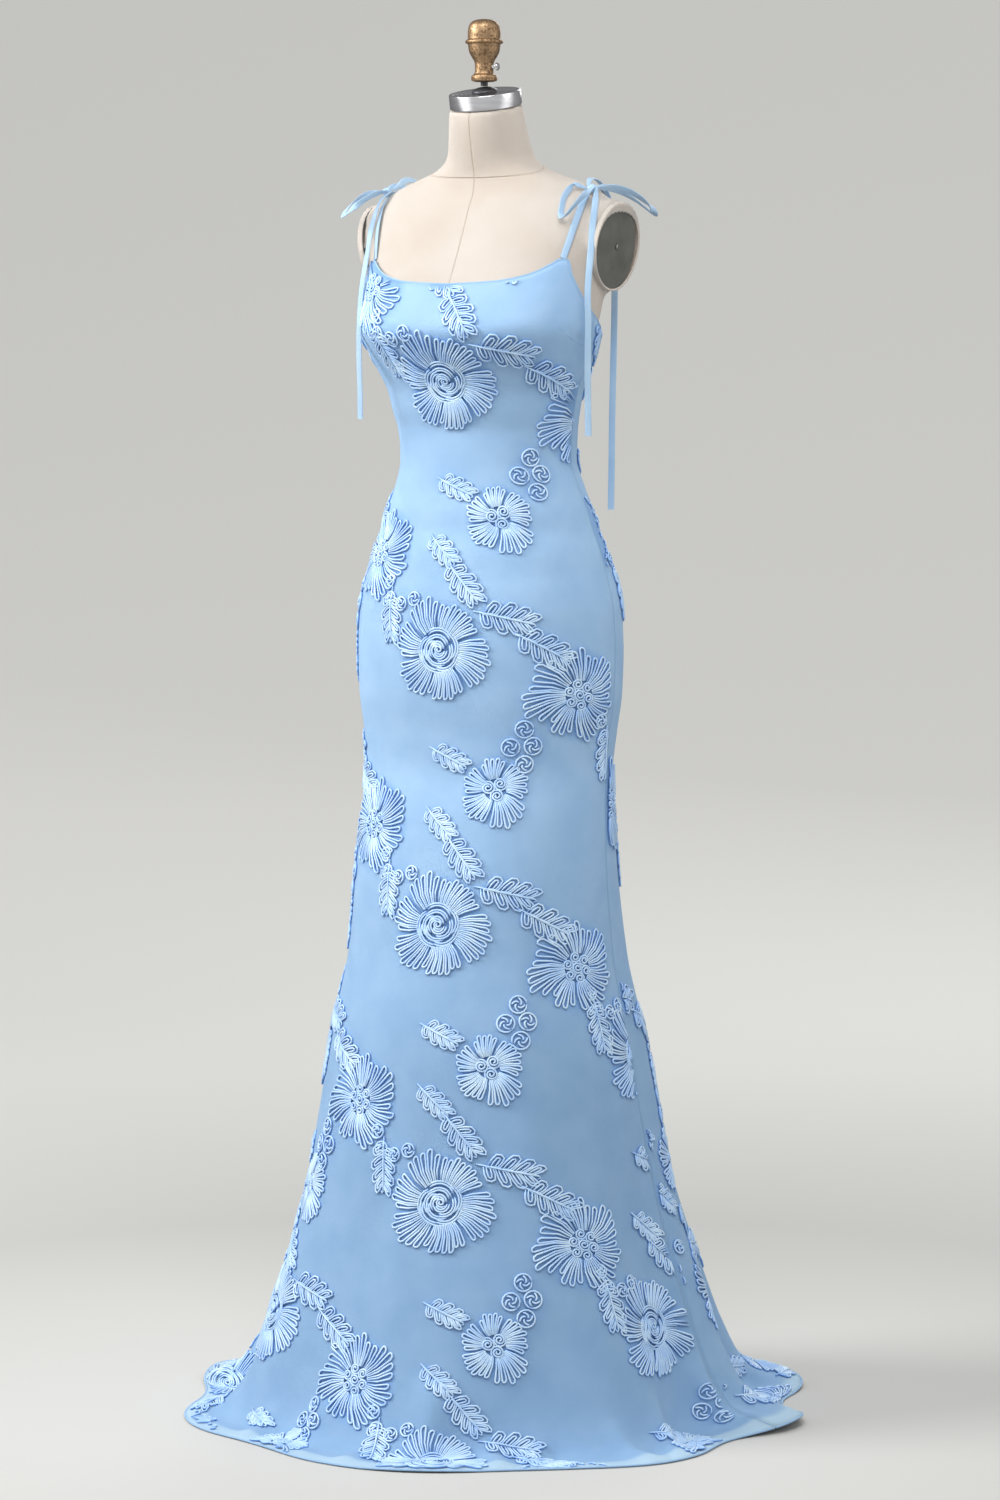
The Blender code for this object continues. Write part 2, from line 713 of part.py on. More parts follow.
def make_neck_hardware(steel, dark, brass, silver):
    lean = Matrix.Rotation(math.radians(NECK_TILT), 4, "X")
    on_neck = Matrix.Translation(NECK_TOP) @ lean
    bevel = 0.0008
    profile = [(CAP_RADIUS - bevel, SEAM_GAP), (CAP_RADIUS, SEAM_GAP + bevel),
               (CAP_RADIUS, CAP_HIGH - bevel), (CAP_RADIUS - bevel, CAP_HIGH)]
    work = turned(profile, 32)
    bmesh.ops.transform(work, matrix=on_neck, verts=work.verts)
    add_object("neck_cap", work, steel)

    floor = CAP_HIGH + SEAM_GAP
    steps = [math.radians(angle) for angle in (0, 25, 50, 74)]
    profile = [(WASHER_RADIUS * math.cos(a), floor + WASHER_HIGH * math.sin(a)) for a in steps]
    washer = turned(profile, 20)
    bmesh.ops.transform(washer, matrix=on_neck, verts=washer.verts)
    washer_top = (on_neck @ Vector((0.0, 0.0, profile[-1][1]))).z
    washer_at = on_neck @ Vector((0.0, 0.0, profile[-1][1]))
    add_object("neck_washer", washer, dark)

    stem_low = washer_top + 0.0011
    work = turned([(STEM_RADIUS, stem_low), (STEM_RADIUS, FINIAL_BASE - SEAM_GAP)], 14)
    bmesh.ops.translate(work, vec=(0.0, washer_at.y, 0.0), verts=work.verts)
    add_object("neck_stem", work, dark)

    work = turned([(radius, FINIAL_BASE + height) for radius, height in FINIAL], 18)
    bmesh.ops.translate(work, vec=(0.0, washer_at.y, 0.0), verts=work.verts)
    finial = add_object("finial", work, brass, 60)
    along_x = Matrix.Rotation(math.radians(90), 4, "Y")
    bore = turned([(SCREW_RADIUS + SCREW_CLEAR, 0.0055), (SCREW_RADIUS + SCREW_CLEAR, 0.0200)], 16)
    screw = turned([(SCREW_RADIUS, 0.0060), (SCREW_RADIUS, 0.0152), (SCREW_HEAD, 0.0156),
                    (SCREW_HEAD, 0.0180), (SCREW_HEAD * 0.8, 0.0186)], 16)
    to_screw = Matrix.Translation((0.0, washer_at.y, SCREW_HEIGHT)) @ along_x
    for work in (bore, screw):
        bmesh.ops.transform(work, matrix=to_screw, verts=work.verts)
    cutter = add_object("bore_shape", bore, brass)
    cutter.hide_render = True
    cutter.display_type = "WIRE"
    cut = finial.modifiers.new("screw bore", "BOOLEAN")
    cut.operation = "DIFFERENCE"
    cut.solver = "EXACT"
    cut.object = cutter
    add_object("thumb_screw", screw, silver)


def make_stand(dark):
    bevel = 0.003
    work = turned([(BASE_RADIUS, 0.0), (BASE_RADIUS, BASE_HIGH - bevel),
                   (BASE_RADIUS - bevel, BASE_HIGH)], 40)
    add_object("stand_base", work, dark)
    work = turned([(POLE_RADIUS, BASE_HIGH + SEAM_GAP), (POLE_RADIUS, FORM_BOTTOM - SEAM_GAP)], 16)
    add_object("stand_pole", work, dark)


# ================================================================ ties
def smooth_path(points, spacing):
    """Evenly spaced points on a smooth curve through the given ones."""
    lengths = [0.0]
    for a, b in zip(points, points[1:]):
        lengths.append(lengths[-1] + (Vector(b) - Vector(a)).length)
    axes = [smooth_spline(lengths, [point[axis] for point in points]) for axis in range(3)]
    count = max(3, round(lengths[-1] / spacing))
    return [Vector([axis(lengths[-1] * step / count) for axis in axes]) for step in range(count + 1)]


def smooth_spline(places, values):
    """Curve through the values whose slope at each is that of its neighbours."""
    last = len(places) - 1

    def slope(row):
        before, after = max(row - 1, 0), min(row + 1, last)
        return (values[after] - values[before]) / (places[after] - places[before])

    def value(place):
        row = 0
        while row < last - 1 and place > places[row + 1]:
            row += 1
        step = places[row + 1] - places[row]
        part = (place - places[row]) / step
        start, end = slope(row) * step, slope(row + 1) * step
        rise = values[row + 1] - values[row]
        return values[row] + part * (start + part * (3 * rise - 2 * start - end
                                                     + part * (start + end - 2 * rise)))
    return value


def ribbon(path, faces_out, pinch_start=False, pinch_end=False):
    """Flat tie along a path; faces_out gives the way its broad side looks at each point."""
    rings = []
    start, end = path[0], path[-1]
    for number, point in enumerate(path):
        before, after = path[max(number - 1, 0)], path[min(number + 1, len(path) - 1)]
        along = (after - before).normalized()
        spread = 1.0
        for is_pinched, tip, sign in ((pinch_start, start, 1), (pinch_end, end, -1)):
            if is_pinched:
                spread = min(spread, TIE_PINCH + (1 - TIE_PINCH) * (point - tip).length / PINCH_LENGTH)
                if point == tip:
                    along = (point - KNOT).normalized() * sign
        side = along.cross(faces_out[number]).normalized()
        out = side.cross(along).normalized()
        half, thick = TIE_WIDTH / 2 * spread, TIE_THICK / 2
        rings.append([point + side * half + out * thick, point - side * half + out * thick,
                      point - side * half - out * thick, point + side * half - out * thick])
    return loft(rings)


STRAP_LIFT = SEAM_GAP + TIE_THICK / 2 + 0.0003
STRAP_BRIDGE = 0.0018      # a taut strap stands this far off in the hollow it bridges
STRAP_CLEAR = 0.0015       # between a strap's lower end and the top edge it is sewn to
FRONT_TIE_DEGREES = 53.5
BACK_TIE_DEGREES = 140.0
SHOULDER_Y = 0.020         # the middle that the shoulder is measured round
SHOULDER_Z = 1.350
KNOT_X = 0.131
KNOT_ROUND = 78.0          # degrees from level front, up and over the shoulder


def inside_form(point):
    """Whether a point lies in the torso or in an arm stub."""
    half_width, half_depth = FORM_HALF_WIDTH(point.z), FORM_HALF_DEPTH(point.z)
    power = 2 / FORM_POWER(point.z)
    across = abs(point.x) / half_width
    along = abs(point.y - FORM_CENTRE(point.z)) / half_depth
    if across ** power + along ** power < 1.0:
        return True
    axis_z = PLATE_HEIGHT + (PLATE_X - abs(point.x)) * math.tan(math.radians(PLATE_TILT))
    half_y, half_z = (half + STUB_RIM for half in PLATE_HALF)
    return math.hypot((point.y - PLATE_Y) / half_y, (point.z - axis_z) / half_z) < 1.0


def shoulder_point(across, degrees):
    """Surface of the shoulder at a distance across, degrees from level front over the top."""
    angle = math.radians(degrees)
    way = Vector((0.0, -math.cos(angle), math.sin(angle)))
    middle = Vector((across, SHOULDER_Y, SHOULDER_Z))
    low, high = 0.0, 0.16
    for _ in range(24):
        half = (low + high) / 2
        if inside_form(middle + way * half):
            low = half
        else:
            high = half
    return middle + way * high


def shoulder_normal(across, degrees):
    sideways = shoulder_point(across + 0.002, degrees) - shoulder_point(across - 0.002, degrees)
    over = shoulder_point(across, degrees + 2.0) - shoulder_point(across, degrees - 2.0)
    return sideways.cross(over).normalized()


def degrees_down_to(across, height, at_back):
    """Angle over the shoulder at which the surface comes down to a height."""
    low, high = (90.0, 250.0) if at_back else (90.0, -60.0)
    for _ in range(24):
        middle = (low + high) / 2
        if shoulder_point(across, middle).z > height:
            low = middle
        else:
            high = middle
    return low


KNOT = (shoulder_point(KNOT_X, KNOT_ROUND)
        + shoulder_normal(KNOT_X, KNOT_ROUND) * (KNOT_RADIUS * KNOT_FLAT + SEAM_GAP + 0.0003))


def strap_path(at_back):
    """Centre line of a strap over the form, with the way out at each point."""
    degrees = BACK_TIE_DEGREES if at_back else FRONT_TIE_DEGREES
    low = TOP_HEIGHT(degrees) + STRAP_CLEAR
    start_x = form_point(degrees, low).x
    start = degrees_down_to(start_x, low, at_back)
    reach = (shoulder_point(KNOT_X, KNOT_ROUND) - Vector((KNOT_X, SHOULDER_Y, SHOULDER_Z))).length
    short = math.degrees((KNOT_RADIUS + 0.0002) / reach)
    end = KNOT_ROUND + short if at_back else KNOT_ROUND - short
    path, faces = [], []
    steps = 17 if at_back else 11
    for step in range(steps + 1):
        part = step / steps
        across = start_x + (KNOT_X - start_x) * part ** 0.9
        around = start + (end - start) * part
        out = shoulder_normal(across, around)
        lift = STRAP_LIFT + STRAP_BRIDGE * math.sin(math.pi * part)
        path.append(shoulder_point(across, around) + out * lift)
        faces.append(out)
    return path, faces


# Loops of the bows. Headings are in degrees from the front towards the arm, droop
# is below level, arch is the rise of the middle over a straight loop.
Loop = namedtuple("Loop", "name heading droop length width roll arch")
LOOPS = [
    Loop("loop_front_left", -21, 36, 0.057, 0.023, 0, 0.009),
    Loop("loop_back_left", 147, 19, 0.088, 0.020, 0, 0.012),
    Loop("loop_front_right", 34, 26, 0.064, 0.022, 0, 0.008),
    Loop("loop_back_right", -161, 3, 0.050, 0.017, 0, 0.009),
]

# Tails: heading at the knot, heading of the broad side, places over the shoulder
# (across, degrees over it, height off it) and then places of the free hang.
Tail = namedtuple("Tail", "name heading broad_side over hang")
TAILS = [
    Tail("tail_front_left", 70, 27,
         [(0.1430, 66, 0.0060), (0.1475, 50, 0.0050), (0.1492, 34, 0.0045), (0.1500, 16, 0.0045)],
         [(0.1505, -0.0400, 1.3100), (0.1515, -0.0410, 1.2700), (0.1505, -0.0400, 1.2300),
          (0.1500, -0.0385, 1.1900), (0.1505, -0.0380, 1.1440)]),
    Tail("tail_back_left", -112, 207,
         [(0.1215, 86, 0.0090), (0.1190, 103, 0.0090), (0.1185, 122, 0.0095), (0.1190, 142, 0.0100),
          (0.1195, 162, 0.0095)],
         [(0.1196, 0.0895, 1.3400), (0.1200, 0.0885, 1.2900), (0.1196, 0.0870, 1.2300),
          (0.1190, 0.0855, 1.1700), (0.1188, 0.0845, 1.1100), (0.1185, 0.0835, 1.0560)]),
    Tail("tail_front_right", -73, 10,
         [(0.1275, 62, 0.0085), (0.1310, 44, 0.0085), (0.1335, 26, 0.0080)],
         [(0.1325, -0.0500, 1.3520), (0.1270, -0.0730, 1.3100), (0.1195, -0.0915, 1.2700),
          (0.1185, -0.0940, 1.2350), (0.1185, -0.0920, 1.2000), (0.1185, -0.0910, 1.1620)]),
    Tail("tail_back_right", 112, 175,
         [(0.1400, 92, 0.0060), (0.1410, 108, 0.0060), (0.1400, 126, 0.0060), (0.1370, 146, 0.0060),
          (0.1340, 164, 0.0060)],
         [(0.1315, 0.0865, 1.3400), (0.1290, 0.0860, 1.2900), (0.1275, 0.0850, 1.2300),
          (0.1265, 0.0835, 1.1600), (0.1260, 0.0825, 1.0900)]),
]
LOOP_CLEAR = 0.0058        # a loop's lower edge over the shoulder, so that the straps fit under it


def heading(degrees, rise=0.0):
    """Direction in plan, from the front towards the arm, raised above level."""
    turn, up = math.radians(degrees), math.radians(rise)
    return Vector((math.sin(turn) * math.cos(up), -math.cos(turn) * math.cos(up), math.sin(up)))


def knot_surface(way):
    """Point just clear of the knot, seen from its middle."""
    reach = 1 / math.sqrt((way.x ** 2 + way.y ** 2) / KNOT_RADIUS ** 2
                          + way.z ** 2 / (KNOT_RADIUS * KNOT_FLAT) ** 2)
    return KNOT + way * (reach + 1.5 * SEAM_GAP)


def loop_path(loop):
    """Closed drop of ribbon that leaves the knot and comes back to it."""
    ahead = heading(loop.heading, -loop.droop)
    side = Matrix.Rotation(math.radians(loop.roll), 3, ahead) @ heading(loop.heading + 90)

    def place(phase):
        part = (1 - math.cos(phase)) / 2
        rise = Vector((0.0, 0.0, loop.arch * 4 * part * (1 - part)))
        return (KNOT + ahead * (loop.length * part) + rise
                + side * (loop.width / 2 * math.sin(phase)))

    low, high = 0.0, math.pi / 2
    for _ in range(24):
        middle = (low + high) / 2
        offset = place(middle) - KNOT
        if offset.length < (knot_surface(offset.normalized()) - KNOT).length:
            low = middle
        else:
            high = middle
    steps = round(2 * loop.length / 0.009)
    path = [place(low + (math.tau - 2 * low) * step / steps) for step in range(steps + 1)]
    return [path[0]] + [raised_clear(point) for point in path[1:-1]] + [path[-1]]


def raised_clear(point):
    """The same place, raised until a ribbon on its edge clears the shoulder."""
    far = min(1.0, (point - KNOT).length / (1.4 * PINCH_LENGTH))
    need = Vector((0.0, 0.0, LOOP_CLEAR * far + TIE_WIDTH / 2 * max(TIE_PINCH, far)))
    low, high = 0.0, 0.03
    for _ in range(12):
        middle = (low + high) / 2
        if inside_form(point - need + Vector((0.0, 0.0, middle))):
            low = middle
        else:
            high = middle
    return point + Vector((0.0, 0.0, high))


def loop_faces(path):
    """A loop's broad side looks away from the middle of the loop."""
    middle = sum(path, Vector()) / len(path)
    last = len(path) - 1
    across = (path[last // 4] - middle).cross(path[3 * last // 4] - middle).normalized()
    faces = []
    for number in range(len(path)):
        along = (path[min(number + 1, last)] - path[max(number - 1, 0)]).normalized()
        faces.append(along.cross(across).normalized())
    return faces


def tail_path(tail):
    """Centre line of a hanging end: off the knot, over the shoulder, then down."""
    route = [knot_surface(heading(tail.heading, 8))]
    for across, degrees, lift in tail.over:
        route.append(shoulder_point(across, degrees) + shoulder_normal(across, degrees) * lift)
    return smooth_path(route + tail.hang, 0.016)


def tail_faces(path, broad_side):
    """A tail's broad side looks up at the knot and one way where it hangs."""
    faces = []
    for point in path:
        near = max(0.0, min(1.0, (point.z - 1.380) / 0.035))
        faces.append(heading(broad_side).lerp(Vector((0.2, 0.0, 1.0)), near).normalized())
    return faces


def mirrored(work, side):
    if side < 0:
        bmesh.ops.scale(work, vec=(-1.0, 1.0, 1.0), verts=work.verts)
        bmesh.ops.reverse_faces(work, faces=work.faces)
    return work


def make_ties(surface):
    for side, word in ((1, "left"), (-1, "right")):
        work = bmesh.new()
        bmesh.ops.create_icosphere(work, subdivisions=2, radius=KNOT_RADIUS)
        bmesh.ops.scale(work, vec=(1.0, 1.0, KNOT_FLAT), verts=work.verts)
        bmesh.ops.translate(work, vec=KNOT, verts=work.verts)
        add_object("knot_" + word, mirrored(work, side), surface)
        for at_back, place in ((False, "front"), (True, "back")):
            work = mirrored(ribbon(*strap_path(at_back), pinch_end=True), side)
            add_object("strap_" + place + "_" + word, work, surface)
    for loop in LOOPS:
        path = loop_path(loop)
        work = ribbon(path, loop_faces(path), pinch_start=True, pinch_end=True)
        add_object(loop.name, mirrored(work, -1 if loop.name.endswith("right") else 1), surface)
    for tail in TAILS:
        path = tail_path(tail)
        work = ribbon(path, tail_faces(path, tail.broad_side), pinch_start=True)
        add_object(tail.name, mirrored(work, -1 if tail.name.endswith("right") else 1), surface)


# ================================================================ zip
SLIDER_DOWN = 0.010        # under the top edge at the centre back
SLIDER_SIZE = (0.0050, 0.0030, 0.0080)
TAB_SIZE = (0.0050, 0.0012, 0.0200)
PIN_DROP = 0.0012          # hinge line under the slider's top


def make_zip(surface):
    """Slider and hanging pull tab of the concealed zip at the centre back."""
    down = top_down(180) + SLIDER_DOWN
    seat = inner_point(180, down)
    out = WALL + SEAM_GAP
    slider_y = seat.y + out + SLIDER_SIZE[1] / 2 + 0.0003
    work = bmesh.new()
    bmesh.ops.create_cube(work, size=1.0)
    bmesh.ops.scale(work, vec=SLIDER_SIZE, verts=work.verts)
    bmesh.ops.bevel(work, geom=work.edges, offset=0.0006, segments=1, affect="EDGES", profile=0.5)
    bmesh.ops.translate(work, vec=(0.0, slider_y, seat.z), verts=work.verts)
    add_object("zip_slider", work, surface)

    tab_y = slider_y + SLIDER_SIZE[1] / 2 + SEAM_GAP + TAB_SIZE[1] / 2
    hinge_z = seat.z + SLIDER_SIZE[2] / 2 - PIN_DROP
    outline = [(0.0012, 0.0006), (0.0016, -0.0040), (0.0025, -0.0150), (0.0022, -0.0180),
               (0.0010, -0.0194), (-0.0010, -0.0194), (-0.0022, -0.0180), (-0.0025, -0.0150),
               (-0.0016, -0.0040), (-0.0012, 0.0006)]
    near = [(across, tab_y - TAB_SIZE[1] / 2, hinge_z + high) for across, high in outline]
    far = [(across, tab_y + TAB_SIZE[1] / 2, hinge_z + high) for across, high in outline]
    add_object("zip_pull", loft([near, far]), surface)


# ================================================================ build
def main():
    for item in list(bpy.data.objects):
        bpy.data.objects.remove(item, do_unlink=True)
    cloth = material("blue_crepe", (0.42, 0.62, 0.88), 0.75)
    satin = material("blue_tie", (0.50, 0.68, 0.92), 0.45)
    linen = material("cream_linen", (0.86, 0.79, 0.69), 0.85)
    steel = material("brushed_steel", (0.62, 0.62, 0.62), 0.30, 1.0)
    brass = material("old_brass", (0.48, 0.34, 0.17), 0.45, 1.0)
    plate = material("grey_plate", (0.10, 0.10, 0.09), 0.50)
    dark = material("dark_metal", (0.05, 0.05, 0.06), 0.40, 0.8)
    silver = material("nickel", (0.70, 0.70, 0.70), 0.25, 1.0)

    make_panel("dress_front", -90.0, 90.0, FRONT_REPEAT_START, 0.0, cloth)
    make_panel("dress_back_left", 90.0, 180.0, BACK_REPEAT_START, 180.0, cloth)
    make_panel("dress_back_right", -180.0, -90.0, BACK_REPEAT_START, -180.0, cloth)
    make_ties(satin)
    make_zip(silver)
    make_torso(linen)
    make_arm(1, "left", plate, silver)
    make_arm(-1, "right", plate, silver)
    make_neck_hardware(steel, dark, brass, silver)
    make_stand(dark)


main()
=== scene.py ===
import math

import bmesh
import bpy
import numpy as np
from mathutils import Matrix, Vector


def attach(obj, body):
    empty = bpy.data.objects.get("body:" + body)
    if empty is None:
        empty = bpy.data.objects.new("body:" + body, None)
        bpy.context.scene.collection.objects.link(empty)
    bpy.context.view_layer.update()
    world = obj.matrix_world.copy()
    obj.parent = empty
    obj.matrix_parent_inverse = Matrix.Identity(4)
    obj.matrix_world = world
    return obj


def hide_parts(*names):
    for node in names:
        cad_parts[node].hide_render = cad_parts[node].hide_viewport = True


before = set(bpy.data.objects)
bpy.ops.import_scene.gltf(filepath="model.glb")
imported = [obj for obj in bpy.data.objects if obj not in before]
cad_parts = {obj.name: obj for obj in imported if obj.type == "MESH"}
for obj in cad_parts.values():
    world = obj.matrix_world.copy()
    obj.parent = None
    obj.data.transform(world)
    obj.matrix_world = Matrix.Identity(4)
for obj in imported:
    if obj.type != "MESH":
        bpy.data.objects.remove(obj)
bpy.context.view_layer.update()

print("frame loaded:", len(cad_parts), "nodes")


view = {
    "turn": 28.0,            # degrees round from the front, towards the wearer's left
    "distance": 5.5,
    "height": 1.25,
    "pitch": 4.93,           # degrees down
    "aside": 0.0142,         # how far the camera stands to the right of the dress's axis
    "lens": 113.3,
    "filmHeight": 36.0,
}


def setCamera():
    turn, pitch = math.radians(view["turn"]), math.radians(view["pitch"])
    right = Vector((math.cos(turn), math.sin(turn), 0))
    level = Vector((-math.sin(turn), math.cos(turn), 0))
    camera = bpy.data.cameras.new("photoView")
    camera.lens = view["lens"]
    camera.sensor_fit = "VERTICAL"
    camera.sensor_height = view["filmHeight"]
    eye = bpy.data.objects.new("photoView", camera)
    eye.location = right * view["aside"] - level * view["distance"] + Vector((0, 0, view["height"]))
    look = level * math.cos(pitch) - Vector((0, 0, math.sin(pitch)))
    eye.rotation_euler = look.to_track_quat("-Z", "Y").to_euler()
    bpy.context.scene.collection.objects.link(eye)
    bpy.context.scene.camera = eye


studio = {
    "world": (0.99, 1.0, 1.0),
    "worldStrength": 0.63,
    "lights": [  # name, degrees from the front, distance, height, size, power
        ("softLeft", -54, 3.0, 2.8, 1.7, 104),
        ("softRight", 100, 4.6, 2.4, 2.4, 18),
        ("overhead", 24, 2.2, 3.8, 2.0, 58),
        ("behind", 190, 4.0, 2.8, 2.2, 40),
    ],
    "aim": (0.0, 0.0, 1.10),
    "floorBounce": (0.30, 0.30, 0.29),
    "floorRadius": 1.9,
    "sweepFlat": 3.5, "sweepRadius": 9.0, "sweepHigh": 12.0, "sweepDrop": 0.001,
    "mirrored": [  # what bright metal sees round the studio: part of a turn, brightness
        (0.00, 0.40), (0.05, 0.50), (0.10, 2.30), (0.15, 2.30), (0.20, 0.90), (0.33, 0.90),
        (0.47, 0.80), (0.52, 1.70), (0.56, 1.70), (0.62, 0.50), (0.75, 0.30), (0.92, 0.30), (1.00, 0.40),
    ],
}


def setStudio():
    scene = bpy.context.scene
    scene.view_settings.view_transform = "Standard"
    scene.world = bpy.data.worlds.new("studio")
    scene.world.use_nodes = True
    sky = NodeTree(scene.world.node_tree)
    turn = sky.add("ShaderNodeTexGradient")
    turn.gradient_type = "RADIAL"
    sky.link(sky.coordinates("Generated"), turn.inputs["Vector"])
    strips = sky.ramp(turn.outputs["Fac"], [(part, (bright, bright, bright * 1.02))
                                            for part, bright in studio["mirrored"]])
    glossy = sky.add("ShaderNodeLightPath").outputs["Is Glossy Ray"]
    back = sky.tree.nodes["Background"]
    back.inputs["Strength"].default_value = studio["worldStrength"]
    sky.link(sky.mix(glossy, studio["world"], strips), back.inputs["Color"])
    for name, degrees, distance, height, size, power in studio["lights"]:
        lamp = bpy.data.lights.new(name, "AREA")
        lamp.shape = "DISK"
        lamp.size = size
        lamp.energy = power
        holder = bpy.data.objects.new(name, lamp)
        turned = math.radians(degrees)
        holder.location = (distance * math.sin(turned), -distance * math.cos(turned), height)
        aim = Vector(studio["aim"]) - holder.location
        holder.rotation_euler = aim.to_track_quat("-Z", "Y").to_euler()
        scene.collection.objects.link(holder)


def studioPaper():
    # painted tones for the camera, graded outwards from the dress as painted shade; an even grey for the light it
    # throws back, clear from outside
    paper = Shading("studioFloor", finishes["floor"][-1][1], 0.9)
    away = paper.add("ShaderNodeVectorMath")
    away.operation = "LENGTH"
    paper.link(paper.coordinates("Object"), away.inputs[0])
    seen = paper.ramp(paper.math("MULTIPLY", away.outputs["Value"], 0.1), finishes["floor"])
    direct = paper.add("ShaderNodeLightPath").outputs["Is Camera Ray"]
    paper.feed("Base Color", paper.mix(direct, studio["floorBounce"], seen))
    paper.settings({"Specular IOR Level": 0.15})
    behind = paper.add("ShaderNodeNewGeometry").outputs["Backfacing"]
    paper.feed("Alpha", paper.math("SUBTRACT", 1.0, behind))
    return paper.material


def makeFloor(paper):
    # a floor that throws light back, in a wide sweep that only the camera sees
    flat, wide, drop = studio["sweepFlat"], studio["sweepRadius"], studio["sweepDrop"]
    bend = [(flat + (wide - flat) * math.sin(turn), (wide - flat) * (1 - math.cos(turn)) - drop)
            for turn in np.linspace(0, math.pi / 2, 24)]
    floor = turnedPiece("floor", [(0.0, 0.0), (studio["floorRadius"], 0.0)], 96, paper, capped=False)
    sweep = turnedPiece("backdrop", [(0.0, -drop)] + bend + [(wide, studio["sweepHigh"])], 96, paper, capped=False)
    for item in (floor, sweep):
        if item.data.polygons[0].normal.z < 0:
            item.data.flip_normals()
    sweep.visible_diffuse = False
    sweep.visible_glossy = False
    sweep.visible_shadow = False


class NodeTree:
    # adds nodes to one tree; where a value is asked for, a node's output may stand in its place
    def __init__(self, tree):
        self.tree = tree

    def add(self, kind):
        return self.tree.nodes.new(kind)

    def link(self, source, target):
        self.tree.links.new(source, target)

    def put(self, value, socket):
        if isinstance(value, bpy.types.NodeSocket):
            self.link(value, socket)
        else:
            socket.default_value = (*value, 1) if isinstance(value, tuple) else value

    def coordinates(self, output):
        return self.add("ShaderNodeTexCoord").outputs[output]

    def math(self, kind, first, second=0.0):
        node = self.add("ShaderNodeMath")
        node.operation = kind
        self.put(first, node.inputs[0])
        self.put(second, node.inputs[1])
        return node.outputs[0]

    def noise(self, vector, scale, detail):
        node = self.add("ShaderNodeTexNoise")
        node.inputs["Detail"].default_value = detail
        self.put(scale, node.inputs["Scale"])
        self.link(vector, node.inputs["Vector"])
        return node.outputs["Fac"]

    def part(self, vector, axis):
        node = self.add("ShaderNodeSeparateXYZ")
        self.link(vector, node.inputs["Vector"])
        return node.outputs[axis]

    def ramp(self, source, stops):
        node = self.add("ShaderNodeValToRGB")
        node.color_ramp.elements[0].position = stops[0][0]
        node.color_ramp.elements[1].position = stops[-1][0]
        for place, _ in stops[1:-1]:
            node.color_ramp.elements.new(place)
        for element, (_, colour) in zip(node.color_ramp.elements, stops):
            element.color = (*colour, 1)
        self.link(source, node.inputs["Fac"])
        return node.outputs["Color"]

    def mix(self, share, first, second, blend="MIX"):
        node = self.add("ShaderNodeMix")
        node.data_type = "RGBA"
        node.blend_type = blend
        for value, number in ((share, 0), (first, 6), (second, 7)):
            self.put(value, node.inputs[number])
        return node.outputs[2]

    def span(self, source, low, high, lowValue, highValue):
        node = self.add("ShaderNodeMapRange")
        for name, value in (("From Min", low), ("From Max", high), ("To Min", lowValue), ("To Max", highValue)):
            node.inputs[name].default_value = value
        self.link(source, node.inputs["Value"])
        return node.outputs["Result"]


class Shading(NodeTree):
    # one material: its shader and what feeds it
    def __init__(self, name, colour, roughness, metallic=0.0):
        self.material = bpy.data.materials.new(name)
        self.material.use_nodes = True
        self.material.diffuse_color = (*colour, 1)
        super().__init__(self.material.node_tree)
        self.shader = self.tree.nodes["Principled BSDF"]
        self.settings({"Base Color": colour, "Roughness": roughness, "Metallic": metallic})

    def settings(self, values):
        for name, value in values.items():
            self.put(value, self.shader.inputs[name])

    def feed(self, name, source):
        self.link(source, self.shader.inputs[name])

    def group(self, group, vector, **values):
        node = self.add("ShaderNodeGroup")
        node.node_tree = group
        self.link(vector, node.inputs["Vector"])
        for name, value in values.items():
            node.inputs[name].default_value = value
        return node.outputs

    def attribute(self, name):
        node = self.add("ShaderNodeAttribute")
        node.attribute_name = name
        return node.outputs["Fac"]

    def bump(self, height, distance, strength=1.0):
        node = self.add("ShaderNodeBump")
        node.inputs["Distance"].default_value = distance
        node.inputs["Strength"].default_value = strength
        self.link(height, node.inputs["Height"])
        self.feed("Normal", node.outputs["Normal"])


def newGroup(name, values, masks):
    # a node group that takes a vector and some values, and gives masks
    tree = bpy.data.node_groups.new(name, "ShaderNodeTree")
    tree.interface.new_socket("Vector", in_out="INPUT", socket_type="NodeSocketVector")
    for title, value in values.items():
        tree.interface.new_socket(title, in_out="INPUT", socket_type="NodeSocketFloat").default_value = value
    for title in masks:
        tree.interface.new_socket(title, in_out="OUTPUT", socket_type="NodeSocketFloat")
    nodes = NodeTree(tree)
    return nodes, nodes.add("NodeGroupInput").outputs, nodes.add("NodeGroupOutput").inputs


def fineWeave():
    # two crossing thread waves and a little crinkle; Vector in metres
    nodes, given, result = newGroup("fineWeave", {"Threads": 1800.0, "Crinkle": 0.5}, ["Height", "Slub"])
    threads = []
    for axis in ("X", "Y"):
        wave = nodes.add("ShaderNodeTexWave")
        wave.bands_direction = axis
        wave.inputs["Distortion"].default_value = 1.5
        wave.inputs["Detail"].default_value = 1.0
        nodes.link(given["Vector"], wave.inputs["Vector"])
        nodes.link(given["Threads"], wave.inputs["Scale"])
        threads.append(wave.outputs["Fac"])
    crinkle = nodes.math("MULTIPLY", nodes.noise(given["Vector"], 420.0, 3.0), given["Crinkle"])
    nodes.link(nodes.math("ADD", nodes.math("MAXIMUM", *threads), crinkle), result["Height"])
    nodes.link(nodes.noise(given["Vector"], 22.0, 4.0), result["Slub"])
    return nodes.tree


